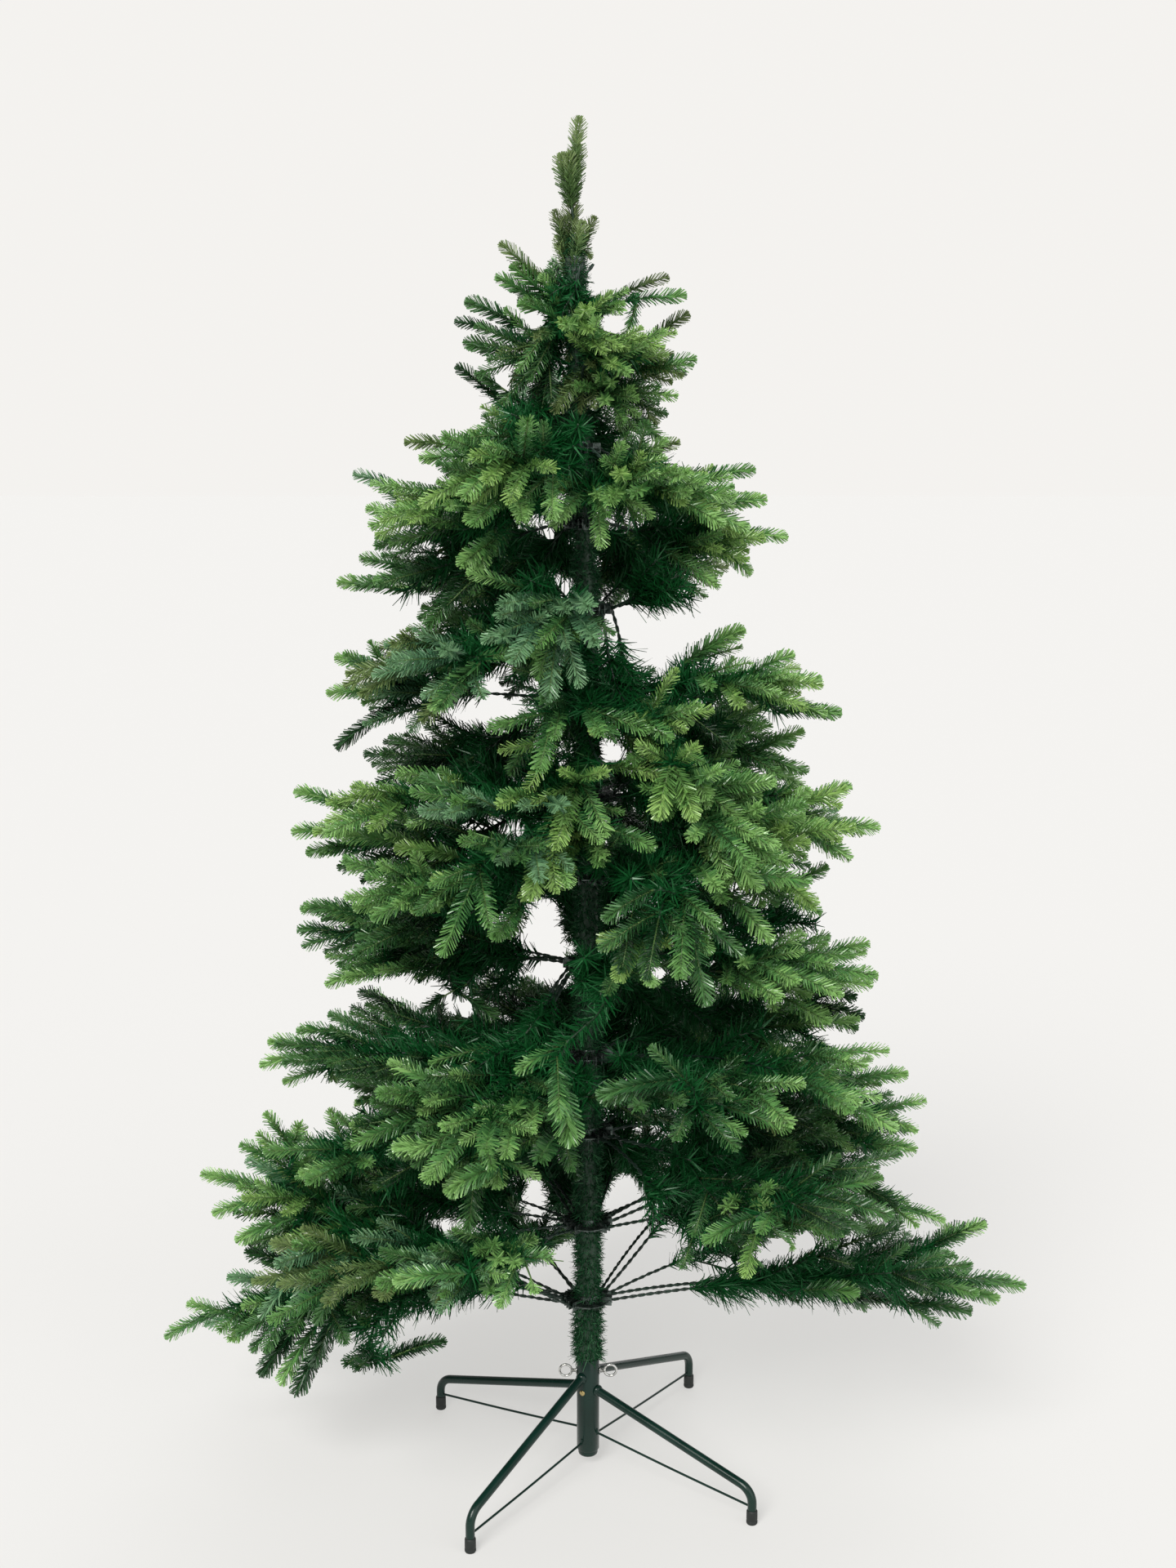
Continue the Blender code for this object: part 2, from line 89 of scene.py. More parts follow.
# One bough a row: collar number, azimuth, reach of the furthest tip, its
# height, side twigs, spread of the twigs (degrees), slope of the end (degrees,
# down is minus), length of bare wire, tone, seed
BOUGHS = [
    (1, 156.1, 0.561, 0.137, 6, 27, -15, 0.11, "blue", 9320),
    (1, 167.6, 0.442, 0.241, 7, 22, -37, 0.13, "light", 897),
    (1, 166.1, 0.495, 0.262, 4, 39, -30, 0.13, "dark", 3005),
    (1, 200.2, 0.351, 0.165, 2, 48, -62, 0.12, "pvc", 1086),
    (1, 186.1, 0.442, 0.248, 4, 48, -53, 0.12, "blue", 7899),
    (1, 184, 0.364, 0.224, 8, 27, -35, 0.12, "dark", 1694),
    (1, 173.3, 0.499, 0.179, 6, 47, -32, 0.12, "dark", 693),
    (1, 225, 0.361, 0.393, 6, 55, 12, 0.09, "mid", 8314),
    (1, -6.4, 0.564, 0.306, 5, 32, 2, 0.11, "spindle", 563),
    (1, 24.3, 0.617, 0.227, 6, 43, 5, 0.12, "dark", 3094),
    (1, 56.4, 0.502, 0.279, 7, 47, -11, 0.15, "light", 5908),
    (1, 94.4, 0.468, 0.308, 5, 28, 16, 0.15, "dark", 6147),
    (1, 128.5, 0.452, 0.3, 6, 56, -21, 0.14, "blue", 9955),
    (1, 30.3, 0.497, 0.243, 7, 47, -12, 0.1, "dark", 4750),
    (1, 44.6, 0.433, 0.312, 8, 36, -40, 0.1, "light", 1603),
    (1, 121, 0.462, 0.24, 7, 39, -25, 0.1, "mid", 9027),
    (2, 5.5, 0.443, 0.371, 8, 56, -24, 0.09, "dark", 1046),
    (2, -33.2, 0.377, 0.437, 7, 42, 5, 0.09, "mid", 4858),
    (2, 173, 0.53, 0.402, 7, 56, 10, 0.07, "lime", 3220),
    (2, 201.3, 0.457, 0.353, 6, 39, 0, 0.07, "olive", 4742),
    (2, 65.1, 0.404, 0.467, 8, 51, -23, 0.06, "mid", 2176),
    (2, 92.5, 0.408, 0.388, 5, 47, 25, 0.06, "light", 4037),
    (2, 134.2, 0.48, 0.475, 7, 36, -12, 0.06, "dark", 8415),
    (2, 230.3, 0.333, 0.396, 7, 28, 4, 0.07, "blue", 8651),
    (2, 83.8, 0.389, 0.356, 5, 44, -5, 0.06, "olive", 301),
    (2, 155.1, 0.472, 0.358, 6, 45, -9, 0.07, "mid", 7785),
    (2, 183.5, 0.167, 0.322, 6, 49, -4, 0.04, "dark", 1882),
    (2, 30, 0.513, 0.356, 7, 38, -21, 0.08, "dark", 8621),
    (2, 44.4, 0.464, 0.368, 7, 44, 7, 0.08, "mid", 8876),
    (2, 116.6, 0.421, 0.358, 7, 43, -15, 0.08, "light", 3496),
    (3, 10.9, 0.454, 0.463, 8, 33, -7, 0.05, "mid", 4760),
    (3, -32.4, 0.441, 0.474, 7, 39, 0, 0.06, "dark", 5373),
    (3, 197.2, 0.432, 0.514, 6, 56, 7, 0.05, "mid", 8040),
    (3, 194.7, 0.455, 0.498, 4, 33, 0, 0.05, "pvc", 2290),
    (3, 239.8, 0.327, 0.52, 5, 46, -32, 0.05, "mid", 8346),
    (3, 98, 0.454, 0.505, 6, 47, -29, 0.05, "mid", 9030),
    (3, 129.4, 0.531, 0.502, 7, 47, -1, 0.05, "dark", 7235),
    (3, -57.8, 0.272, 0.452, 3, 34, -6, 0.12, "pvc", 1878),
    (3, 50.8, 0.438, 0.545, 7, 44, 2, 0.05, "blue", 8826),
    (3, 141.7, 0.435, 0.461, 4, 43, -12, 0.05, "mid", 3096),
    (3, 20.3, 0.167, 0.42, 4, 36, -2, 0.03, "pvc", 8158),
    (3, 200.3, 0.176, 0.44, 6, 43, -52, 0.04, "dark", 9960),
    (3, 81.3, 0.421, 0.479, 8, 40, -19, 0.06, "light", 6302),
    (3, 92, 0.3, 0.4, 6, 44, -6, 0.05, "pvc", 601),
    (3, 106.9, 0.359, 0.45, 7, 52, -8, 0.05, "dark", 604),
    (4, 10, 0.436, 0.546, 6, 35, 7, 0.06, "light", 3023),
    (4, -33.9, 0.448, 0.592, 5, 41, -17, 0.06, "light", 9758),
    (4, -63.6, 0.385, 0.605, 4, 45, -8, 0.07, "dark", 2898),
    (4, 242.1, 0.399, 0.57, 8, 45, -15, 0.05, "light", 6010),
    (4, 260.8, 0.352, 0.592, 5, 50, 6, 0.05, "dark", 4467),
    (4, 182.7, 0.412, 0.622, 5, 47, 7, 0.05, "dark", 6139),
    (4, 214.6, 0.314, 0.561, 5, 46, -4, 0.05, "dark", 6140),
    (4, 47.2, 0.414, 0.616, 7, 46, 14, 0.05, "light", 3025),
    (4, 118.5, 0.495, 0.58, 6, 47, 28, 0.05, "mid", 5248),
    (4, 89.4, 0.436, 0.619, 6, 49, 2, 0.05, "mid", 2847),
    (4, 76, 0.3, 0.53, 6, 44, -4, 0.05, "pvc", 602),
    (4, 111.5, 0.339, 0.578, 6, 44, 7, 0.05, "dark", 2450),
    (4, 80.8, 0.341, 0.594, 6, 48, 8, 0.05, "dark", 5709),
    (5, -13.7, 0.371, 0.725, 6, 46, 0, 0.06, "light", 4320),
    (5, -37.9, 0.384, 0.757, 7, 31, -11, 0.06, "light", 2019),
    (5, -83.3, 0.294, 0.684, 4, 22, -47, 0.06, "dark", 1571),
    (5, 230.1, 0.316, 0.61, 5, 50, 3, 0.06, "light", 2419),
    (5, 167.9, 0.365, 0.749, 7, 48, 13, 0.05, "light", 5150),
    (5, 229, 0.377, 0.649, 4, 39, 21, 0.05, "dark", 9311),
    (5, 74.6, 0.48, 0.761, 5, 24, -19, 0.04, "mid", 7007),
    (5, 140.6, 0.426, 0.743, 5, 55, 29, 0.04, "light", 4229),
    (5, 98.4, 0.438, 0.718, 7, 42, -18, 0.05, "dark", 9165),
    (5, 153.8, 0.292, 0.709, 7, 56, -11, 0.05, "dark", 9387),
    (5, 215.6, 0.326, 0.604, 8, 56, 27, 0.05, "dark", 9171),
    (5, -4.9, 0.355, 0.659, 5, 40, 9, 0.05, "light", 4745),
    (5, 59.1, 0.284, 0.629, 6, 40, 0, 0.05, "pvc", 471),
    (5, 69.5, 0.342, 0.679, 5, 38, -10, 0.05, "mid", 6690),
    (6, 11.5, 0.368, 0.822, 6, 24, 29, 0.05, "pvc", 1633),
    (6, -66.3, 0.342, 0.772, 5, 51, -62, 0.05, "dark", 1082),
    (6, -48.2, 0.324, 0.828, 6, 46, -34, 0.05, "mid", 2896),
    (6, 185.9, 0.358, 0.814, 6, 39, 12, 0.05, "dark", 107),
    (6, 219.4, 0.37, 0.877, 6, 28, 8, 0.05, "light", 4601),
    (6, 241.5, 0.354, 0.831, 5, 45, -44, 0.05, "mid", 9629),
    (6, 46.4, 0.415, 0.939, 5, 47, 26, 0.04, "blue", 9530),
    (6, 103.7, 0.352, 0.841, 4, 52, 25, 0.04, "mid", 4632),
    (6, 163.6, 0.372, 0.858, 4, 24, -13, 0.04, "dark", 5693),
    (6, 81.3, 0.381, 0.857, 7, 43, 34, 0.04, "light", 5862),
    (7, 3.9, 0.361, 0.902, 6, 48, -18, 0.05, "lime", 1444),
    (7, -23.8, 0.356, 0.943, 6, 50, 13, 0.05, "lime", 1471),
    (7, -54.8, 0.343, 0.901, 7, 24, -34, 0.05, "light", 3732),
    (7, -96.8, 0.27, 0.914, 5, 25, -9, 0.04, "lime", 4746),
    (7, 262, 0.297, 0.924, 4, 35, -39, 0.04, "lime", 6872),
    (7, 196.2, 0.326, 0.923, 6, 38, 13, 0.05, "light", 8246),
    (7, 247, 0.369, 0.969, 7, 45, -3, 0.05, "blue", 7518),
    (7, 199.1, 0.358, 0.931, 4, 33, -16, 0.05, "lime", 6198),
    (7, 59.8, 0.439, 1.004, 6, 50, 24, 0.04, "mid", 9878),
    (7, 132.7, 0.364, 0.958, 7, 48, -5, 0.04, "dark", 4141),
    (7, 92.7, 0.377, 0.928, 5, 34, 4, 0.04, "mid", 4880),
    (7, 219.2, 0.262, 1.006, 4, 49, 31, 0.05, "mid", 9545),
    (7, 16.3, 0.283, 1.009, 4, 38, -12, 0.05, "light", 5213),
    (8, -4.8, 0.303, 1.067, 8, 51, -20, 0.05, "lime", 8669),
    (8, -39.4, 0.331, 0.985, 5, 27, 21, 0.05, "light", 4998),
    (8, -56.4, 0.287, 0.942, 6, 34, -38, 0.05, "light", 2868),
    (8, -101.1, 0.291, 1.044, 5, 39, -30, 0.05, "mid", 708),
    (8, 172.8, 0.322, 1.087, 7, 39, 1, 0.1, "blue", 3118),
    (8, 215.9, 0.227, 1.097, 6, 53, -23, 0.06, "dark", 3461),
    (8, 42, 0.366, 1.08, 7, 28, 34, 0.04, "light", 4617),
    (8, 143.2, 0.252, 1.114, 5, 48, -33, 0.04, "light", 401),
    (8, 85.6, 0.295, 1.054, 7, 42, 11, 0.04, "blue", 309),
    (8, 154.2, 0.296, 1.008, 6, 38, 13, 0.05, "dark", 8449),
    (9, 1.7, 0.188, 1.016, 5, 55, 34, 0.04, "dark", 4114),
    (9, -54, 0.225, 1.101, 4, 26, 20, 0.04, "lime", 1057),
    (9, -84.4, 0.29, 1.045, 5, 44, 10, 0.04, "lime", 1800),
    (9, 225.4, 0.328, 1.161, 5, 52, 4, 0.05, "blue", 7125),
    (9, 259.9, 0.26, 1.122, 5, 24, -53, 0.04, "blue", 9920),
    (9, 62.2, 0.318, 1.194, 6, 33, -22, 0.04, "mid", 2612),
    (9, 128.4, 0.341, 1.213, 8, 45, 5, 0.04, "light", 5113),
    (9, 198.1, 0.311, 1.129, 4, 33, -8, 0.05, "olive", 417),
    (9, -15.5, 0.198, 1.233, 3, 25, 5, 0.03, "pvc", 8302),
    (9, 103.4, 0.276, 1.133, 5, 44, 5, 0.04, "mid", 6571),
    (9, 3.8, 0.179, 1.22, 6, 27, 3, 0.03, "pvc", 408),
    (10, 4.6, 0.224, 1.288, 6, 50, 7, 0.04, "lime", 6510),
    (10, -43.4, 0.219, 1.317, 5, 38, -20, 0.04, "light", 4995),
    (10, 183.6, 0.291, 1.231, 7, 53, -9, 0.04, "dark", 2642),
    (10, 244.4, 0.298, 1.325, 6, 27, -22, 0.04, "light", 6652),
    (10, 275.9, 0.154, 1.291, 5, 56, -45, 0.04, "light", 8648),
    (10, 67, 0.27, 1.267, 4, 49, 10, 0.03, "olive", 2361),
    (10, 123.6, 0.26, 1.315, 7, 56, 33, 0.03, "dark", 1462),
    (10, 209.7, 0.296, 1.314, 5, 24, -13, 0.04, "lime", 3035),
    (10, 109.5, 0.269, 1.27, 6, 45, 16, 0.03, "light", 205),
    (11, 12.3, 0.224, 1.337, 5, 37, 5, 0.03, "lime", 6033),
    (11, -59.7, 0.203, 1.381, 5, 51, 16, 0.03, "lime", 854),
    (11, 183.4, 0.259, 1.351, 7, 48, 34, 0.03, "dark", 1011),
    (11, 243.3, 0.31, 1.356, 5, 29, -21, 0.03, "lime", 8822),
    (11, 70.7, 0.222, 1.404, 6, 52, 34, 0.03, "dark", 811),
    (11, 111.9, 0.236, 1.456, 5, 46, 14, 0.03, "blue", 8830),
    (11, 91.3, 0.233, 1.37, 5, 43, -9, 0.03, "mid", 3402),
    (12, 5.3, 0.098, 1.498, 6, 38, 21, 0.03, "mid", 5523),
    (12, 194.9, 0.198, 1.351, 7, 56, -11, 0.03, "mid", 3968),
    (12, 222.5, 0.193, 1.418, 5, 25, 1, 0.03, "lime", 904),
    (12, 290.2, 0.133, 1.494, 4, 56, -12, 0.03, "lime", 8861),
    (12, 84.1, 0.21, 1.409, 5, 45, 30, 0.03, "light", 5584),
    (13, -4.3, 0.102, 1.485, 5, 55, -16, 0.02, "olive", 1056),
    (13, 187.4, 0.138, 1.551, 6, 35, 23, 0.02, "dark", 5260),
    (13, 258.7, 0.13, 1.55, 5, 41, 0, 0.02, "lime", 4883),
    (13, 81.7, 0.176, 1.528, 4, 45, 29, 0.02, "mid", 6846),
    (14, -0.4, 0.022, 1.583, 4, 39, 28, 0.02, "olive", 4096),
    (14, 175.2, 0.102, 1.607, 6, 45, 31, 0.02, "dark", 9028),
    (14, 295.3, 0.092, 1.568, 3, 56, -2, 0.02, "light", 5004),
    (14, 116.6, 0.099, 1.637, 3, 25, 28, 0.02, "olive", 9062),
]

# Tips that the photograph shows singly: pixel of the end, pixel of the foot, how
# far to the front (1) or the back (-1) of the crown, tone, girth
# the near-black tone in this list is painted shade on tips that lie in shadow
FINGERS = [
    # leader
    (709, 146, 700, 252, 0.0, "olive", 0.80), (687, 192, 699, 252, 0.5, "olive", 0.98), (707, 180, 701, 250, -0.6, "olive", 0.92),
    (697, 190, 700, 254, 1.0, "olive", 0.95), (698, 200, 700, 256, -1.0, "olive", 0.92), (701, 248, 700, 335, 0.0, "moss", 0.95),
    (680, 260, 694, 318, 0.3, "moss", 0.72), (727, 268, 706, 318, 0.1, "moss", 0.72), (690, 268, 699, 330, -0.9, "olive", 0.80),
    (712, 274, 702, 330, 0.9, "olive", 0.80), (723, 314, 706, 298, -0.3, "olive", 0.60), (683, 300, 698, 338, 0.4, "olive", 0.75),
    (717, 294, 702, 338, -0.6, "moss", 0.75), (675, 325, 682, 354, 0.2, "dark", 0.65),
    # right side, downwards
    (815, 340, 752, 366, 0.1, "moss", 0.80), (768, 410, 780, 372, 0.4, "mid", 0.75), (840, 386, 792, 420, 0.0, "moss", 0.90),
    (848, 440, 800, 452, 0.1, "mid", 0.95), (828, 542, 785, 562, 0.1, "olive", 0.90), (920, 576, 850, 588, 0.0, "mid", 0.95),
    (934, 612, 866, 620, 0.2, "light", 1.00), (960, 658, 885, 656, 0.0, "light", 0.95), (916, 700, 876, 668, 0.2, "light", 1.00),
    (906, 772, 838, 812, 0.0, "light", 1.25), (968, 802, 915, 828, 0.1, "light", 1.00), (1001, 832, 930, 845, 0.0, "light", 1.05),
    (1025, 873, 955, 872, 0.1, "mid", 1.05), (980, 896, 925, 920, -0.2, "light", 1.00), (1038, 963, 980, 985, 0.1, "light", 1.00),
    (1072, 1013, 990, 1015, 0.0, "light", 1.05), (1038, 1049, 985, 1018, 0.2, "light", 1.00), (1010, 1063, 960, 1092, -0.2, "mid", 1.00),
    (1060, 1156, 996, 1172, 0.1, "light", 1.00), (1070, 1195, 1000, 1195, 0.0, "light", 1.05), (1054, 1244, 990, 1230, -0.2, "night", 1.00),
    (1107, 1315, 1045, 1322, 0.0, "light", 1.00), (1130, 1348, 1075, 1362, 0.1, "light", 0.88), (1118, 1407, 1068, 1402, 0.1, "light", 1.00),
    (1153, 1494, 1100, 1478, 0.0, "light", 0.88), (1203, 1500, 1142, 1524, 0.0, "light", 1.00), (1251, 1574, 1175, 1572, 0.0, "mid", 1.00),
    (1219, 1589, 1165, 1580, 0.1, "light", 1.00), (1185, 1605, 1110, 1596, 0.1, "dark", 1.15),
    # left side, downwards
    (616, 300, 662, 347, 0.0, "olive", 0.95), (611, 340, 662, 372, 0.2, "mid", 0.95), (575, 370, 640, 402, 0.0, "dark", 1.10),
    (561, 394, 612, 408, 0.1, "night", 0.80), (573, 420, 640, 442, -0.1, "dark", 1.10), (562, 450, 604, 484, 0.0, "night", 0.90),
    (500, 541, 570, 550, 0.0, "olive", 0.95), (437, 581, 500, 606, 0.0, "blue", 0.92), (453, 623, 505, 640, 0.2, "light", 0.95),
    (445, 683, 505, 700, -0.2, "mid", 0.95), (418, 713, 495, 724, 0.0, "light", 1.00), (454, 788, 475, 825, 0.1, "mid", 0.80),
    (415, 806, 480, 825, 0.0, "light", 1.00), (405, 848, 480, 850, 0.1, "light", 1.00), (415, 913, 490, 862, 0.0, "night", 1.00),
    (365, 969, 425, 988, 0.0, "light", 1.00), (362, 1018, 430, 1020, 0.1, "light", 1.00), (380, 1043, 435, 1036, -0.2, "mid", 1.00),
    (373, 1112, 430, 1110, 0.1, "mid", 1.00), (369, 1138, 415, 1142, -0.1, "dark", 1.00), (403, 1204, 460, 1185, 0.0, "light", 1.00),
    (368, 1262, 420, 1266, 0.1, "mid", 1.00), (333, 1276, 400, 1282, 0.0, "light", 1.00), (323, 1303, 400, 1290, 0.1, "light", 1.00),
    (351, 1324, 400, 1308, -0.1, "light", 0.90), (327, 1365, 352, 1400, 0.0, "light", 0.90), (405, 1361, 420, 1400, -0.2, "light", 0.90),
    (298, 1403, 350, 1428, 0.1, "mid", 1.00), (250, 1438, 330, 1460, 0.0, "light", 0.92), (265, 1484, 345, 1465, 0.2, "light", 1.00),
    (293, 1517, 365, 1490, 0.3, "light", 1.00), (305, 1533, 375, 1556, 0.2, "night", 1.10), (283, 1564, 370, 1580, 0.0, "blue", 1.00),
    (233, 1597, 285, 1612, 0.1, "light", 0.90), (206, 1635, 282, 1602, 0.0, "mid", 0.92), (288, 1638, 332, 1600, 0.2, "light", 0.90),
    (310, 1652, 345, 1612, 0.3, "dark", 0.90), (322, 1679, 372, 1615, 0.4, "night", 1.25), (364, 1702, 404, 1632, 0.5, "night", 1.30),
    (346, 1690, 388, 1622, 0.4, "light", 1.15), (330, 1654, 372, 1606, 0.3, "dark", 1.10), (385, 1668, 410, 1612, 0.5, "night", 1.10),
    (423, 1643, 402, 1600, 0.6, "dark", 0.80), (388, 1617, 425, 1562, 0.7, "dark", 1.00), (541, 1643, 480, 1662, 0.75, "night", 1.00),
    # between those, further in
    (630, 328, 676, 372, 0.5, "mid", 1.10), (640, 372, 690, 396, 0.6, "mid", 1.10), (664, 340, 690, 392, 0.5, "light", 0.95),
    (590, 460, 636, 492, 0.2, "dark", 1.00), (518, 560, 585, 562, 0.2, "light", 1.00), (1044, 1220, 985, 1214, 0.2, "night", 1.05),
    (1046, 1258, 985, 1240, -0.1, "dark", 1.00), (606, 1246, 560, 1215, 0.0, "dark", 1.00), (520, 1236, 572, 1205, 0.0, "night", 1.00),
    # towards the camera, downwards
    (636, 592, 642, 545, 0.9, "light", 0.90), (656, 570, 657, 530, 0.8, "light", 0.90), (568, 690, 607, 662, 0.9, "light", 1.10),
    (671, 828, 628, 722, 0.6, "light", 1.50), (533, 865, 588, 812, 0.9, "light", 1.30), (488, 801, 560, 785, 0.6, "light", 0.95),
    (727, 895, 772, 882, 0.8, "lime", 0.90), (818, 904, 778, 880, 0.9, "mid", 0.90), (617, 975, 672, 985, 0.9, "mid", 1.00),
    (806, 998, 820, 938, 1.0, "lime", 1.10), (849, 1000, 826, 938, 1.0, "lime", 1.10), (866, 974, 838, 940, 0.9, "light", 1.00),
    (938, 1047, 912, 1000, 0.8, "light", 1.25), (903, 1082, 878, 1042, 0.9, "light", 1.00), (972, 1088, 925, 1052, 0.6, "light", 1.00),
    (797, 1037, 740, 1014, 0.9, "mid", 1.00), (488, 1038, 562, 1050, 0.6, "lime", 1.00), (533, 1078, 602, 1080, 0.8, "lime", 1.00),
    (458, 1114, 540, 1090, 0.6, "light", 1.00), (508, 1114, 562, 1090, 0.7, "light", 1.00), (607, 1147, 637, 1112, 0.9, "mid", 1.00),
    (651, 1097, 664, 1040, 1.0, "lime", 1.05), (694, 1083, 680, 1038, 1.0, "light", 1.00), (743, 1124, 800, 1090, 1.0, "dark", 1.00),
    (877, 1134, 800, 1096, 0.9, "mid", 1.10), (868, 1163, 818, 1110, 0.9, "mid", 1.10), (849, 1193, 828, 1130, 0.9, "dark", 1.00),
    (757, 1197, 782, 1150, 1.0, "lime", 1.00), (799, 1203, 786, 1150, 1.0, "light", 1.00), (816, 1156, 788, 1145, 0.9, "lime", 0.90),
    (1018, 1330, 1004, 1288, 0.6, "light", 1.00), (738, 1341, 830, 1322, 0.9, "dark", 1.35), (942, 1344, 885, 1325, 0.8, "dark", 1.00),
    (953, 1382, 915, 1352, 0.8, "moss", 1.00), (488, 1337, 570, 1365, 0.8, "light", 1.10), (486, 1405, 575, 1410, 0.9, "light", 1.10),
    (528, 1438, 572, 1412, 0.9, "mid", 1.00), (550, 1457, 610, 1428, 1.0, "light", 1.20), (515, 1381, 560, 1375, 0.9, "dark", 1.00),
    (699, 1397, 680, 1310, 0.9, "mid", 1.30), (487, 1568, 570, 1560, 0.9, "light", 1.10), (613, 1597, 632, 1550, 0.9, "light", 0.90),
    (655, 1580, 642, 1545, 0.9, "light", 0.80), (865, 1519, 925, 1490, 0.8, "mid", 1.00),
    (913, 1560, 926, 1510, 0.9, "lime", 0.90), (969, 1527, 952, 1490, 0.7, "light", 0.80), (1047, 1583, 985, 1580, 0.4, "mid", 1.20),
]

UP = np.array([0.0, 0.0, 1.0])


# ------------------------------------------------------------------- helpers
def smoothstep(x):
    x = np.clip(x, 0.0, 1.0)
    return x * x * (3.0 - 2.0 * x)


def lean(z):
    """How far the pole's axis stands off x = 0 at this height."""
    return -0.0165 * smoothstep((z - 1.10) / 0.55) + 0.007 * smoothstep((z - 1.68) / 0.12)


def polar(azimuth, r, z):
    a = math.radians(azimuth)
    return np.array([r * math.cos(a), r * math.sin(a), z])


def unit(v):
    return v / max(1e-9, math.sqrt(float(v @ v)))


def units(v):
    return v / np.maximum(np.linalg.norm(v, axis=-1, keepdims=True), 1e-9)


def bezier(p0, p1, p2, p3, n):
    t = np.linspace(0, 1, n)[:, None]
    return (1 - t) ** 3 * p0 + 3 * (1 - t) ** 2 * t * p1 + 3 * (1 - t) * t ** 2 * p2 + t ** 3 * p3


def arc(points):
    return np.concatenate([[0.0], np.cumsum(np.linalg.norm(np.diff(points, axis=0), axis=1))])


def along(points, t):
    """Places and directions on a line at shares t of its length."""
    s = arc(points)
    at = np.clip(t, 0, 1) * s[-1]
    i = np.clip(np.searchsorted(s, at, side="right") - 1, 0, len(points) - 2)
    f = ((at - s[i]) / np.maximum(s[i + 1] - s[i], 1e-9))[:, None]
    tangents = units(np.gradient(points, axis=0))
    return points[i] * (1 - f) + points[i + 1] * f, units(tangents[i] * (1 - f) + tangents[i + 1] * f)


def photo_pixels(p):
    q = p - CAMERA_AT
    ahead = np.array([0.0, math.cos(CAMERA_DOWN), -math.sin(CAMERA_DOWN)])
    above = np.array([0.0, math.sin(CAMERA_DOWN), math.cos(CAMERA_DOWN)])
    f = LENS / 36.0 * 1920.0
    depth = q @ ahead
    return 720.0 + f * q[..., 0] / depth, 960.0 - f * (q @ above) / depth


def in_gap(p, grow=0.0):
    u, v = photo_pixels(p)
    found = np.zeros(u.shape, bool)
    for cx, cy, rx, ry in GAPS:
        found |= ((u - cx) / (rx + grow)) ** 2 + ((v - cy) / (ry + grow)) ** 2 < 1.0
    return found


def in_window(p):
    u, v = photo_pixels(p)
    found = np.zeros(u.shape, bool)
    for cx, cy, rx, ry in WINDOWS:
        found |= ((u - cx) / rx) ** 2 + ((v - cy) / ry) ** 2 < 1.0
    return found & (p[:, 1] < -0.05)


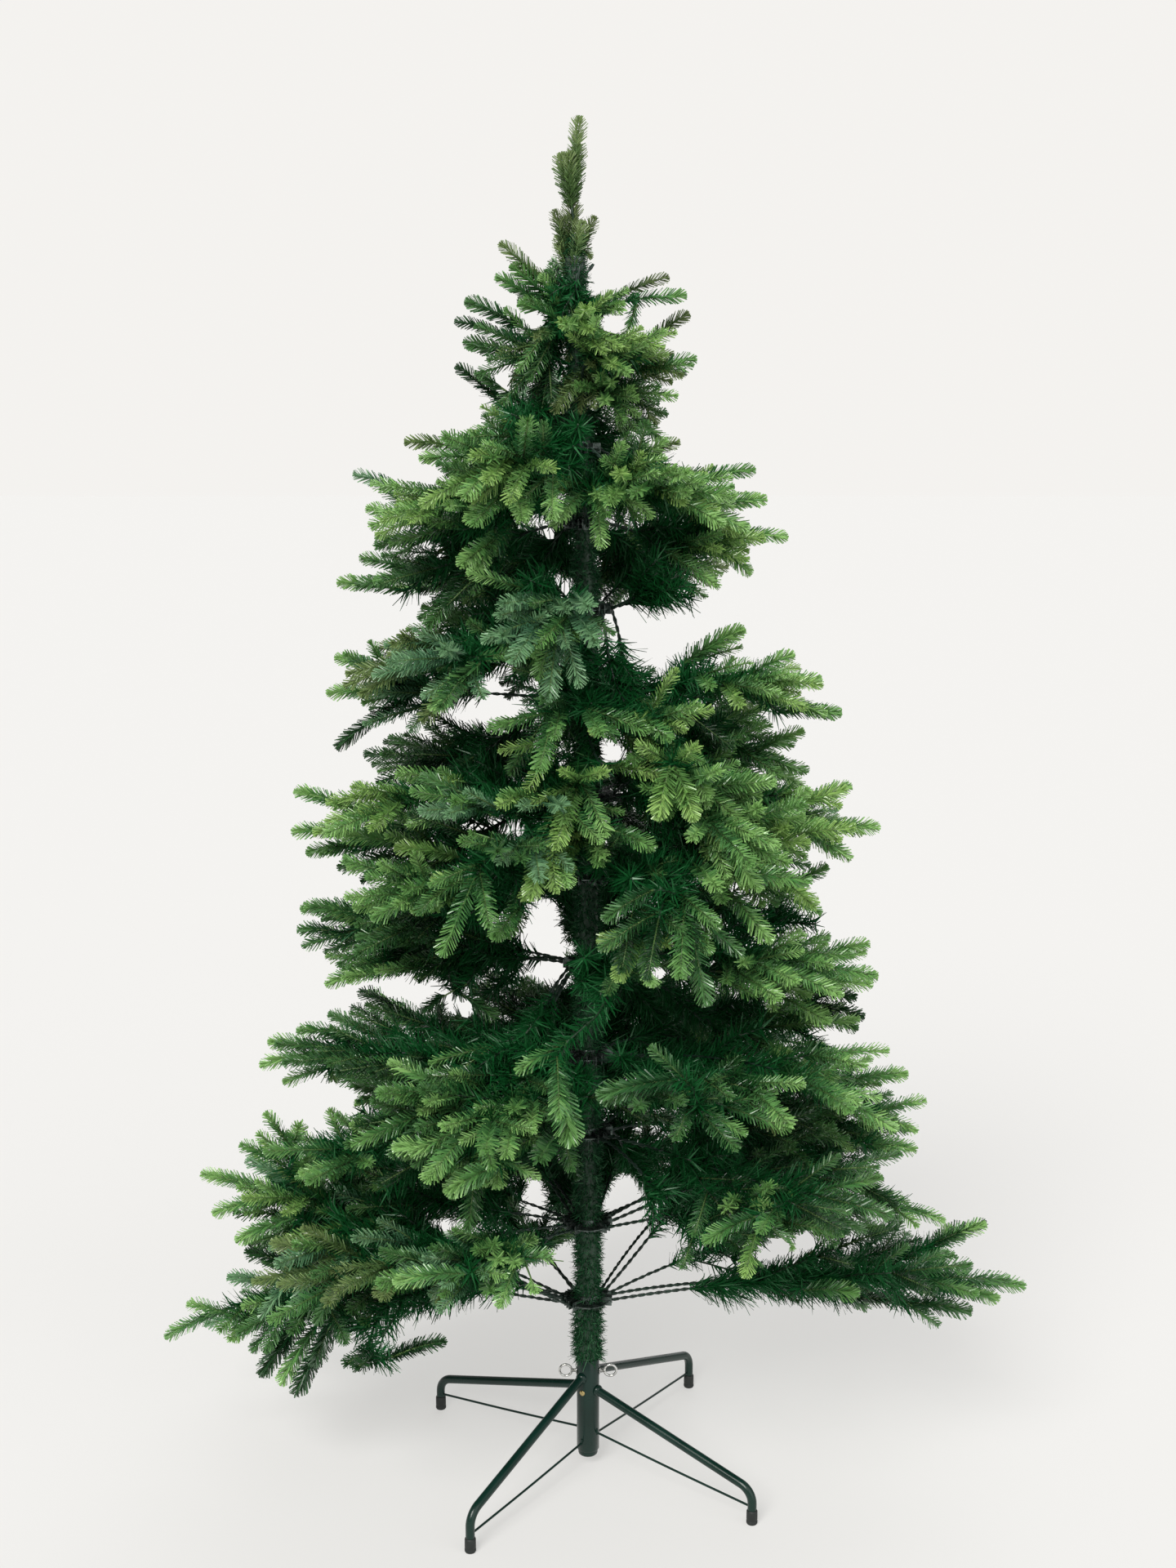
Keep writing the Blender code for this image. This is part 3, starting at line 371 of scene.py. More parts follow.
# ------------------------------------------------------- branching of a bough
def grow(row):
    """Stems of one bough: a list of (kind, points, tone, rank). kind is main,
    twig, brush or tip; rank is how far out it stands, 0 to 1."""
    hub, az, reach, z_end, count, spread, end_slope, bare, tone, seed = row
    rng = np.random.default_rng(seed)
    z_hub = HUBS[hub - 1]
    hub_r = HUB_R if z_hub < HUB_CHANGE else HUB_TOP_R
    out = polar(az, 1.0, 0.0)
    start = polar(az, hub_r + 0.001, z_hub) + np.array([lean(z_hub), 0, 0])
    end = polar(az, reach, z_end)
    size = min(1.0, 0.68 + 0.9 * reach)
    tip_len = 0.100 * size * rng.uniform(0.92, 1.10)
    e = math.radians(end_slope)
    d_end = out * math.cos(e) + UP * math.sin(e)
    wire_end = end - d_end * tip_len
    span = math.sqrt(float((wire_end - start) @ (wire_end - start)))
    chord = unit(wire_end - start)
    # leaves the collar steeper than its chord, then bends to the end slope
    d0 = unit(chord + UP * (0.22 if end_slope < 0 else 0.09))
    main = bezier(start, start + d0 * span * 0.36, wire_end - d_end * span * 0.30, wire_end, 26)
    main += np.sin(np.linspace(0, math.pi, 26))[:, None] * polar(az + 90, 1.0, 0.0) * rng.normal(0, 0.010)
    stems = [("main", main, tone, 0.0)]

    def frame_at(t):
        i = min(24, max(0, int(t * 25)))
        tan = unit(main[i + 1] - main[i])
        side = unit(np.cross(tan, UP))
        return main[i] + (main[i + 1] - main[i]) * (t * 25 - i), tan, side, np.cross(side, tan)

    def tip(base, direction, length, droop, rank):
        d = unit(direction)
        sag = np.array([0, 0, -1.0]) * droop
        stems.append(("tip", bezier(base, base + d * length * 0.33, base + d * length * 0.66 + sag * length * 0.16, base + d * length + sag * length * 0.38, 7), tone, rank))

    moulded = tone != "pvc"
    heavy = 0.30 if end_slope < -15 else 0.0
    # the end is a hand of tips: one in line, one each side and one raised
    _, tan, side, nrm = frame_at(0.999)
    if moulded:
        tip(main[-1], d_end, tip_len, 0.08, 1.0)
        for s in (-1, 1):
            yaw = math.radians(rng.uniform(26, 42) * spread / 42)
            base = frame_at(rng.uniform(0.89, 0.96))[0]
            tip(base, tan * math.cos(yaw) + side * s * math.sin(yaw) + nrm * rng.uniform(-0.22, 0.30), tip_len * rng.uniform(0.80, 1.0), 0.10, 0.95)
        if tone != "spindle":
            lift = math.radians(rng.uniform(22, 46))
            base = frame_at(rng.uniform(0.84, 0.92))[0]
            tip(base, tan * math.cos(lift) + nrm * math.sin(lift) + side * rng.normal(0, 0.22), tip_len * rng.uniform(0.70, 0.92), 0.08, 0.9)
    bare_t = bare / max(span, 1e-6)
    t_first = min(0.60, max(0.26, bare_t + 0.05))
    for k in range(count):
        t = t_first + (0.87 - t_first) * (k + rng.uniform(0.1, 0.7)) / count
        s = -1 if (k + seed) % 2 else 1
        base, tan, side, nrm = frame_at(t)
        yaw = math.radians(spread * rng.uniform(0.85, 1.25))
        pitch = np.clip(rng.normal(0.06, 0.36), -0.70, 0.75)
        d = unit(tan * math.cos(yaw) + side * s * math.sin(yaw) + nrm * pitch)
        length = (0.34 * span * (1.0 - 0.62 * t) + 0.016) * rng.uniform(0.8, 1.2)
        forward = unit(d + tan * 0.40)
        twig_end = base + d * length * 0.5 + forward * length * 0.5 - UP * length * rng.uniform(0.0, 0.10)
        twig = bezier(base, base + d * length * 0.35, twig_end - forward * length * 0.33, twig_end, 9)
        stems.append(("twig", twig, tone, t))
        if not moulded:
            continue
        droop = 0.08 + heavy * rng.uniform(0.3, 1)
        tip(twig_end, forward, tip_len * rng.uniform(0.82, 1.05), droop, t)
        across = unit(np.cross(forward, nrm))
        s2 = 1 if rng.random() < 0.5 else -1
        for j in range(1 if t < 0.45 or rng.random() < 0.60 else 2):
            yaw = math.radians(rng.uniform(28, 46))
            s2 = -s2
            tip(twig[6 + int(rng.random() < 0.6)], forward * math.cos(yaw) + across * s2 * math.sin(yaw) + nrm * rng.uniform(-0.20, 0.32), tip_len * rng.uniform(0.70, 0.95), droop, t * 0.95)
        if length > 0.080 and t > 0.38:
            yaw = math.radians(rng.uniform(34, 52))
            tip(twig[4], forward * math.cos(yaw) - across * s2 * math.sin(yaw) + nrm * rng.uniform(-0.15, 0.40), tip_len * rng.uniform(0.66, 0.85), droop, t * 0.88)
    # short brushes of cut needles that fill the bough's inner part
    if tone != "spindle":
        for k in range(5):
            t = max(bare_t, 0.08) + rng.uniform(0.02, 0.40)
            if t > 0.72:
                continue
            base, tan, side, nrm = frame_at(t)
            turn = rng.uniform(0, 2 * math.pi)
            d = unit(tan * 0.75 + side * math.cos(turn) + nrm * math.sin(turn))
            length = rng.uniform(0.045, 0.080) * size
            stems.append(("brush", bezier(base, base + d * length * 0.33, base + d * length * 0.66, base + unit(d + tan * 0.5) * length, 5), tone, 0.2))
    return stems


def place(u, v, front):
    """The point of the crown at this pixel of the photograph; front says how
    far from the side (0) to the front (1) of the crown it stands."""
    f = LENS / 36.0 * 1920.0
    ray = np.array([(u - 720.0) / f, math.cos(CAMERA_DOWN), -math.sin(CAMERA_DOWN)])
    ray += (960.0 - v) / f * np.array([0.0, math.sin(CAMERA_DOWN), math.cos(CAMERA_DOWN)])
    y = 0.0
    for _ in range(4):
        p = CAMERA_AT + ray * (y - CAMERA_AT[1]) / ray[1]
        r = np.interp(p[2], [0.15, 0.50, 0.70, 0.90, 1.10, 1.30, 1.45, 1.57, 1.62, 1.70], [0.42, 0.42, 0.40, 0.37, 0.33, 0.27, 0.19, 0.11, 0.018, 0.016])
        y = -0.84 * front * max(math.sqrt(max(r * r - p[0] ** 2, 0.0)), 0.35 * r)
    return CAMERA_AT + ray * (y - CAMERA_AT[1]) / ray[1]


def finger(row, mains):
    """Stems of one such tip: the tip, and the twig that carries it from the
    nearest bough, or from the pole at the leader."""
    u0, v0, u1, v1, front, tone, girth = row
    head = place(u0, v0, front)
    f = LENS / 36.0 * 1920.0
    ray = np.array([(u1 - 720.0) / f, math.cos(CAMERA_DOWN), -math.sin(CAMERA_DOWN)])
    ray += (960.0 - v1) / f * np.array([0.0, math.sin(CAMERA_DOWN), math.cos(CAMERA_DOWN)])
    foot = CAMERA_AT + ray * (head[1] - CAMERA_AT[1]) / ray[1]
    short = 0.070 ** 2 - float((head - foot) @ (head - foot))
    if short > 0.0 and front > 0.35 and foot[2] < 1.55:
        foot = CAMERA_AT + ray * (head[1] + math.sqrt(short) - CAMERA_AT[1]) / ray[1]
    d = unit(head - foot)
    length = math.sqrt(float((head - foot) @ (head - foot)))
    sag = np.array([0, 0, 0.05 * length])
    tip = bezier(foot, foot + (head - foot) * 0.33 + sag, foot + (head - foot) * 0.66 + sag, head, 8)
    axis = np.array([float(lean(foot[2])), 0.0, foot[2]])
    if foot[2] > 1.55 and abs(foot[0] - axis[0]) < 0.05:
        start, tangent = axis - UP * 0.022, UP
    else:
        spots = np.concatenate([m[4:] for m in mains])
        tangents = np.concatenate([units(np.gradient(m, axis=0))[4:] for m in mains])
        away = foot - spots
        far = np.linalg.norm(away, axis=1)
        cost = far * (1.0 + 0.9 * (1.0 - (away @ d) / np.maximum(far, 1e-6)) * 0.5)
        k = int(np.argmin(cost))
        start, tangent = spots[k], tangents[k]
    span = math.sqrt(float((foot - start) @ (foot - start)))
    twig = bezier(start, start + tangent * span * 0.25, foot - d * span * 0.30, foot, 10)
    return twig, tip


# ------------------------------------------------------------------- needles
needles = {}      # piece: list of (foot, direction, outward, length, width, bend)


def deal(piece, foot, direction, outward, length, width, bend):
    needles.setdefault(piece, []).append((foot, direction, outward, length, width, bend))


def moulded_tip(points, girth, tone, rng, dense=1.0):
    """Needles of one moulded tip: six rows round its stem, each half a step
    from the next. They end on a round-nosed sleeve of this girth (its radius)."""
    total = arc(points)[-1]
    stations = max(7, int(total / TIP_PITCH * dense))
    rows = np.array([0.0, 180.0, 52.0, 128.0, -52.0, -128.0])
    k = np.arange(stations * 6)
    i, row = k // 6, k % 6
    t = (i + 0.5 * (row % 2) + 0.35 * (row // 2) + rng.uniform(-0.12, 0.12, len(k))) / stations
    t = np.concatenate([np.clip(t + 0.01, 0.01, 1.0), np.full(9, 1.0)])
    phi = np.concatenate([rows[row] + rng.normal(0, 6.0, len(k)), np.arange(9) * 137.5 + rng.uniform(0, 360)])
    p, tan = along(points, t)
    upright = abs(float(unit(points[-1] - points[0])[2])) > 0.90
    side = units(np.cross(tan, np.array([0.0, 1.0, 0.0]) if upright else UP))
    nrm = np.cross(side, tan)
    phi = np.radians(phi)[:, None]
    out = side * np.cos(phi) + nrm * np.sin(phi)
    a = np.radians(60.0 - 12.0 * t - 16.0 * t ** 9 + rng.normal(0, 3.5, len(t)))
    a[-9:] = np.radians(np.linspace(6.0, 50.0, 9))
    d = units(tan * np.cos(a)[:, None] + out * np.sin(a)[:, None])
    flat = np.ones(len(t))
    flat[:len(k)] = np.where(row < 2, 1.0, 0.88)
    # the sleeve: narrower at the foot, its nose a little past the stem's end
    s = t * total
    radius = girth * flat * (0.72 + 0.28 * smoothstep(s / (0.30 * total)))
    nose = 1.20 * girth
    centre = total + 0.42 * girth - nose
    length = radius / np.sin(a)
    ahead = s + length * np.cos(a) > centre
    qa = np.cos(a) ** 2 / nose ** 2 + np.sin(a) ** 2 / radius ** 2
    qb = 2.0 * (s - centre) * np.cos(a) / nose ** 2
    qc = (s - centre) ** 2 / nose ** 2 - 1.0
    capped = (-qb + np.sqrt(np.maximum(qb * qb - 4.0 * qa * qc, 0.0))) / (2.0 * qa)
    length = np.where(ahead, np.minimum(capped, length), length)
    length = np.maximum(length, 0.30 * girth) * rng.uniform(0.90, 1.06, len(t))
    keep = ~in_gap(p + d * length[:, None] * 0.8)
    width = TIP_NEEDLE_W * min(1.25, max(0.75, girth / TIP_GIRTH)) * rng.uniform(0.88, 1.1, len(t))
    # needles near a tip's foot take its darker colour as painted shade, those at its end its own lighter colour
    place_along_tip = t + rng.normal(0, 0.09, len(t))
    for part, chosen in (("_old", keep & (place_along_tip < 0.36)), ("", keep & (place_along_tip >= 0.36) & (place_along_tip < 0.66)), ("_young", keep & (place_along_tip >= 0.66))):
        if chosen.any():
            deal("tip_" + tone + part, p[chosen] + out[chosen] * 0.0007, d[chosen], out[chosen], length[chosen], width[chosen], tan[chosen] * 0.10)


def cut_needles(points, t_from, t_to, per_metre, length, tone, rng, angle=60.0):
    total = arc(points)[-1]
    n = int(total * (t_to - t_from) * per_metre)
    if n < 1:
        return
    t = t_from + (t_to - t_from) * (np.arange(n) + rng.uniform(0, 1, n)) / n
    p, tan = along(points, t)
    side = units(np.cross(tan, UP))
    nrm = np.cross(side, tan)
    phi = (np.arange(n) * 2.399963 + rng.normal(0, 0.25, n))[:, None]
    out = side * np.cos(phi) + nrm * np.sin(phi)
    a = np.radians(angle + rng.normal(0, 11.0, n))[:, None]
    d = units(tan * np.cos(a) + out * np.sin(a) + rng.normal(0, 0.10, (n, 3)))
    ends = np.clip((t - t_from) / 0.10 + 0.45, 0, 1) * np.clip((t_to - t) / 0.06 + 0.6, 0, 1)
    size = length * rng.uniform(0.70, 1.12, n) * ends * np.interp(p[:, 2], [1.42, 1.58], [1.0, 0.55])
    keep = ~in_gap(p + d * size[:, None] * 0.8)
    # a random share of the cut needles is paler, a painted glint, and gets a higher specular level too
    glint_draw = rng.random(n)
    for part, chosen in (("", keep & (glint_draw > 0.16)), ("_pale", keep & (glint_draw <= 0.16))):
        if chosen.any():
            deal("cut_" + tone + part, p[chosen] + out[chosen] * 0.0012, d[chosen], out[chosen], size[chosen],
                 np.full(chosen.sum(), CUT_NEEDLE_W), tan[chosen] * rng.uniform(-0.05, 0.25, (chosen.sum(), 1)))


def needle_arrays(rows, moulded, rng):
    foot, d, out, length, width, bend = (np.concatenate([r[k] for r in rows]) for k in range(6))
    ln, w = length[:, None], width[:, None]
    raised = units(out - (out * d).sum(1, keepdims=True) * d + rng.normal(0, 0.02, out.shape))
    roll = (np.where(rng.random(len(foot)) < 0.5, -0.72, 0.72) + rng.normal(0, 0.25, len(foot)) if moulded else rng.normal(0, 1.2, len(foot)))[:, None]
    across = np.cross(d, raised)
    raised, across = raised * np.cos(roll) + across * np.sin(roll), across * np.cos(roll) - raised * np.sin(roll)
    tip = foot + d * ln + bend * ln
    # a narrow strap, folded from corner to corner: the moulded ones blunt, the cut ones pointed
    end, fold = (0.30, 0.20) if moulded else (0.12, 0.12)
    verts = np.stack([
        foot + across * w * 0.5 + raised * w * fold,
        foot - across * w * 0.5 - raised * w * fold,
        tip - across * w * end + raised * w * fold * 0.7,
        tip + across * w * end - raised * w * fold * 0.7,
    ], 1)
    faces = np.array([[0, 1, 2], [0, 2, 3]])
    n, k = len(foot), verts.shape[1]
    return verts.reshape(-1, 3), (faces[None] + (np.arange(n) * k)[:, None, None]).reshape(-1, 3)


# ------------------------------------------------------------------- meshes
def make(name, verts, faces, material, smooth=False, sharp=None):
    verts, faces = np.asarray(verts, np.float32), np.asarray(faces, np.int32)
    k = faces.shape[1]
    mesh = bpy.data.meshes.new(name)
    mesh.vertices.add(len(verts))
    mesh.vertices.foreach_set("co", verts.ravel())
    mesh.loops.add(len(faces) * k)
    mesh.loops.foreach_set("vertex_index", faces.ravel())
    mesh.polygons.add(len(faces))
    mesh.polygons.foreach_set("loop_start", np.arange(0, len(faces) * k, k, dtype=np.int32))
    mesh.polygons.foreach_set("use_smooth", np.full(len(faces), smooth))
    mesh.update(calc_edges=True)
    mesh.validate()
    if smooth and sharp:
        mesh.set_sharp_from_angle(angle=math.radians(sharp))
    mesh.materials.append(material)
    obj = bpy.data.objects.new(name, mesh)
    bpy.context.scene.collection.objects.link(obj)
    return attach(obj, "root") or obj


class Bag:
    """Meshes of triangles and quads gathered into one."""

    def __init__(self):
        self.verts, self.faces, self.n = [], [], 0

    def add(self, verts, faces):
        faces = np.asarray(faces)
        if faces.shape[1] == 4:
            faces = np.concatenate([faces[:, [0, 1, 2]], faces[:, [0, 2, 3]]])
        self.verts.append(np.asarray(verts))
        self.faces.append(faces + self.n)
        self.n += len(verts)

    def done(self):
        return np.concatenate(self.verts), np.concatenate(self.faces)


def tube(path, radii, sides, round_end=False):
    """A closed tube along a path, with flat or rounded ends."""
    path = np.asarray(path, float)
    n = len(path)
    radii = np.broadcast_to(np.asarray(radii, float), (n,)).copy()
    tan = units(np.gradient(path, axis=0))
    u = np.empty_like(path)
    ref = np.array([1.0, 0, 0]) if abs(tan[0][0]) < 0.8 else np.array([0, 1.0, 0])
    for i in range(n):
        ref = unit(ref - tan[i] * float(ref @ tan[i]))
        u[i] = ref
    v = np.cross(tan, u)
    if round_end:
        r = radii[-1]
        extra = [(math.sin(a) * r, math.cos(a) * r) for a in (0.5, 1.0, 1.4)]
        path = np.vstack([path] + [path[-1:] + tan[-1:] * e for e, _ in extra])
        radii = np.concatenate([radii, [c for _, c in extra]])
        u, v = np.vstack([u] + [u[-1:]] * 3), np.vstack([v] + [v[-1:]] * 3)
        n += 3
    a = np.linspace(0, 2 * math.pi, sides, endpoint=False)
    ring = path[:, None] + radii[:, None, None] * (u[:, None] * np.cos(a)[None, :, None] + v[:, None] * np.sin(a)[None, :, None])
    verts = np.concatenate([ring.reshape(-1, 3), path[:1], path[-1:]])
    i, j = np.meshgrid(np.arange(n - 1), np.arange(sides), indexing="ij")
    i, j = i.ravel(), j.ravel()
    j2 = (j + 1) % sides
    quads = np.stack([i * sides + j, i * sides + j2, (i + 1) * sides + j2, (i + 1) * sides + j], 1)
    tris = np.concatenate([quads[:, [0, 1, 2]], quads[:, [0, 2, 3]]])
    j = np.arange(sides)
    j2 = (j + 1) % sides
    foot = np.stack([np.full(sides, n * sides), j2, j], 1)
    head = np.stack([np.full(sides, n * sides + 1), (n - 1) * sides + j, (n - 1) * sides + j2], 1)
    return verts, np.concatenate([tris, foot, head])


def turned(profile, sides, centre=(0.0, 0.0), ring=False):
    """A solid of revolution from (r, z) pairs; ring closes the profile on itself."""
    profile = np.asarray(profile, float)
    n = len(profile)
    a = np.linspace(0, 2 * math.pi, sides, endpoint=False)
    x = profile[:, 0][:, None] * np.cos(a) + centre[0]
    y = profile[:, 0][:, None] * np.sin(a) + centre[1]
    z = np.repeat(profile[:, 1][:, None], sides, 1)
    verts = np.stack([x, y, z], 2).reshape(-1, 3)
    last = n if ring else n - 1
    i, j = np.meshgrid(np.arange(last), np.arange(sides), indexing="ij")
    i, j = i.ravel(), j.ravel()
    j2, i2 = (j + 1) % sides, (i + 1) % n
    quads = np.stack([i * sides + j, i * sides + j2, i2 * sides + j2, i2 * sides + j], 1)
    faces = np.concatenate([quads[:, [0, 1, 2]], quads[:, [0, 2, 3]]])
    if not ring:
        verts = np.concatenate([verts, [[centre[0], centre[1], profile[0, 1]], [centre[0], centre[1], profile[-1, 1]]]])
        j = np.arange(sides)
        j2 = (j + 1) % sides
        faces = np.concatenate([faces, np.stack([np.full(sides, n * sides), j2, j], 1),
                                np.stack([np.full(sides, n * sides + 1), (n - 1) * sides + j, (n - 1) * sides + j2], 1)])
    return verts, faces


# ------------------------------------------------------------------- materials
def plain(name, colour, roughness, specular=0.5, metallic=0.0, coat=0.0):
    mat = bpy.data.materials.new(name)
    mat.use_nodes = True
    shader = mat.node_tree.nodes["Principled BSDF"]
    shader.inputs["Base Color"].default_value = (*colour, 1.0)
    shader.inputs["Roughness"].default_value = roughness
    shader.inputs["Specular IOR Level"].default_value = specular
    shader.inputs["Metallic"].default_value = metallic
    shader.inputs["Coat Weight"].default_value = coat
    mat.diffuse_color = (*colour, 1.0)
    return mat


def mottled(name, dark, light, scale, roughness, spread, bump=0.0, bump_scale=400.0, **other):
    """Colour and roughness vary over the surface, with a fine grain."""
    mat = plain(name, light, roughness, **other)
    tree = mat.node_tree
    shader = tree.nodes["Principled BSDF"]
    place = tree.nodes.new("ShaderNodeTexCoord")
    noise = tree.nodes.new("ShaderNodeTexNoise")
    noise.inputs["Scale"].default_value = scale
    noise.inputs["Detail"].default_value = 6.0
    tree.links.new(place.outputs["Object"], noise.inputs["Vector"])
    ramp = tree.nodes.new("ShaderNodeValToRGB")
    ramp.color_ramp.elements[0].position, ramp.color_ramp.elements[1].position = 0.35, 0.68
    ramp.color_ramp.elements[0].color = (*dark, 1.0)
    ramp.color_ramp.elements[1].color = (*light, 1.0)
    tree.links.new(noise.outputs["Fac"], ramp.inputs["Fac"])
    tree.links.new(ramp.outputs["Color"], shader.inputs["Base Color"])
    spans = tree.nodes.new("ShaderNodeMapRange")
    spans.inputs["From Min"].default_value, spans.inputs["From Max"].default_value = 0.3, 0.7
    spans.inputs["To Min"].default_value, spans.inputs["To Max"].default_value = roughness - spread, roughness + spread
    tree.links.new(noise.outputs["Fac"], spans.inputs["Value"])
    tree.links.new(spans.outputs["Result"], shader.inputs["Roughness"])
    if bump:
        grain = tree.nodes.new("ShaderNodeTexNoise")
        grain.inputs["Scale"].default_value = bump_scale
        grain.inputs["Detail"].default_value = 3.0
        tree.links.new(place.outputs["Object"], grain.inputs["Vector"])
        push = tree.nodes.new("ShaderNodeBump")
        push.inputs["Strength"].default_value = bump
        push.inputs["Distance"].default_value = 0.0004
        tree.links.new(grain.outputs["Fac"], push.inputs["Height"])
        tree.links.new(push.outputs["Normal"], shader.inputs["Normal"])
    return mat


# base colours of each tone of moulded needle
TIPS = {
    # near the foot of a tip, along it, and at its end: the darker foot colour is painted shade deep in the spray, the
    # lighter end the tips' own two-tone colour
    "lime": ((0.086, 0.200, 0.052), (0.148, 0.305, 0.074), (0.268, 0.446, 0.126)),
    "light": ((0.058, 0.164, 0.050), (0.108, 0.270, 0.075), (0.236, 0.440, 0.136)),
    "mid": ((0.031, 0.110, 0.032), (0.063, 0.192, 0.051), (0.138, 0.310, 0.086)),
    "blue": ((0.039, 0.115, 0.057), (0.078, 0.197, 0.094), (0.164, 0.326, 0.162)),
    "dark": ((0.015, 0.064, 0.020), (0.032, 0.111, 0.033), (0.070, 0.185, 0.054)),
    # near black throughout: painted shade for tips that lie in the crown's shadow
    "night": ((0.005, 0.030, 0.009), (0.009, 0.042, 0.012), (0.021, 0.074, 0.022)),
    "olive": ((0.062, 0.122, 0.037), (0.098, 0.176, 0.054), (0.178, 0.262, 0.090)),
    "moss": ((0.037, 0.070, 0.022), (0.058, 0.103, 0.032), (0.114, 0.163, 0.056)),
}
CUTS = {
    # each tone's own colour, then a paler one dealt to a random share as painted glints
    "deep": ((0.006, 0.071, 0.017), (0.025, 0.137, 0.045)),
    "fresh": ((0.010, 0.064, 0.014), (0.042, 0.132, 0.040)),
}
ORDER = ["dark", "mid", "light", "lime"]


def tone_for(tone, rank, rng):
    """The tone of one tip: its bough's own, a step darker far in as painted shade
    of the crown's inside, near black at times, and now and then a step either way."""
    if tone in ("blue", "olive"):
        if rng.random() < 0.22:
            return "mid" if rng.random() < 0.6 else "dark"
        return tone
    k = {"dark": 0, "mid": 1, "light": 2, "lime": 3, "spindle": 0, "pvc": 0}[tone]
    draw = rng.random()
    k += (1 if draw < 0.16 else 0) - (1 if draw > 0.80 else 0)
    if rank < 0.62:
        k -= 1 if rng.random() < 0.7 else 0
    if rank < 0.45:
        k -= 1
    if k < 0 and rng.random() < 0.6:
        return "night"
    if tone != "lime":
        k = min(k, 2)
    return ORDER[max(0, min(3, k))]


# ------------------------------------------------------------------- grow it
wires, twigs, stalks = Bag(), Bag(), Bag()
tips_made = 0
mains = []
for row in BOUGHS:
    hub, az, reach, z_end, count, spread, end_slope, bare, tone, seed = row
    rng = np.random.default_rng(9000 + seed + int(az) * 7 + hub)
    for kind, points, _, rank in grow(row):
        if kind == "tip":
            mid = points[2:6]
            if in_gap(mid, 4.0).mean() > 0.45 or in_window(points).mean() > 0.30:
                continue
            length = arc(points)[-1]
            girth = TIP_GIRTH * min(1.06, max(0.60, length / 0.098)) * rng.uniform(0.94, 1.06)
            moulded_tip(points, girth, tone_for(tone, rank, rng), rng, 0.85 if rank < 0.5 else 1.0)
            stalks.add(*tube(points[::3], [0.0016, 0.0012, 0.0008], 3))
            tips_made += 1
        elif kind in ("twig", "brush"):
            if in_gap(points[3:], 2.0).mean() > 0.6:
                continue
            twigs.add(*tube(points[::2], np.linspace(0.0017, 0.0013, len(points[::2])), 3))
            cut_needles(points, 0.04, 1.0, CUT_PER_METRE, CUT_NEEDLE * 0.86, "fresh" if tone in ("light", "lime") and rank > 0.5 else "deep", rng)
        else:
            mains.append(points)
            span = arc(points)[-1]
            t0 = min(0.9, bare / span)
            if tone == "spindle":
                cut_needles(points, t0, 1.0, CUT_PER_METRE * 2.2, 0.040, "deep", rng, angle=48.0)
            else:
                cut_needles(points, t0, 1.0, CUT_PER_METRE * (1.5 if tone == "pvc" else 1.1), CUT_NEEDLE * (1.15 if tone == "pvc" else 1.0), "deep", rng)
            # two steel wires twisted together, bare next to the collar
            shown = min(0.96, (bare + 0.035) / span)
            n = max(8, int(shown * span / 0.0050))
            p, tan = along(points, np.linspace(0, shown, n))
            side = units(np.cross(tan, UP))
            nrm = np.cross(side, tan)
            turn = (np.linspace(0, shown, n) * span / 0.024 * 2 * math.pi)[:, None]
            for s in (0.0, math.pi):
                off = (side * np.cos(turn + s) + nrm * np.sin(turn + s)) * 0.00125
                wires.add(*tube(p + off, np.full(n, 0.00135), 4))
            p, _ = along(points, np.linspace(shown - 0.01, 1, 9))
            wires.add(*tube(p, np.linspace(0.0021, 0.0013, 9), 4))

# the tips that show singly
rng = np.random.default_rng(77)
for row in FINGERS:
    twig, points = finger(row, mains)
    tone, girth = row[5], row[6]
    moulded_tip(points, TIP_GIRTH * girth, tone, rng, 1.45 if points[0][2] < 1.60 else 1.7)
    stalks.add(*tube(points[::2], np.linspace(0.0016, 0.0008, 4), 4))
    twigs.add(*tube(twig[::3], np.linspace(0.0018, 0.0015, 4), 4))
    if points[0][2] < 1.60:
        cut_needles(twig, 0.04, 1.0, CUT_PER_METRE, CUT_NEEDLE * 0.80, "deep", rng)
    span = arc(twig)[-1]
    for t, s in ((0.42, 1), (0.68, -1), (0.88, 1)) if span > 0.11 else ((0.70, 1),) if span > 0.06 else ():
        p, tan = along(twig, np.array([t]))
        side = unit(np.cross(tan[0], UP)) * s * (1 if rng.random() < 0.5 else -1)
        d = unit(tan[0] * 0.95 + side * rng.uniform(0.45, 0.75) + UP * rng.uniform(-0.1, 0.25))
        more = rng.uniform(0.058, 0.078)
        side_tip = bezier(p[0], p[0] + d * more * 0.33, p[0] + d * more * 0.66 - UP * more * 0.01, p[0] + d * more - UP * more * 0.04, 7)
        if in_gap(side_tip[2:6], 4.0).mean() > 0.3 or in_window(side_tip).mean() > 0.3:
            continue
        moulded_tip(side_tip, TIP_GIRTH * rng.uniform(0.85, 0.98), tone, rng)
        stalks.add(*tube(side_tip[::3], [0.0016, 0.0012, 0.0008], 3))

# ribbon wound round the pole, with short needles standing out of it
def pole_radius(z):
    r = np.full_like(z, SECTIONS[0][1])
    for low, radius in SECTIONS[1:]:
        r = np.where(z > low, radius, r)
    return r


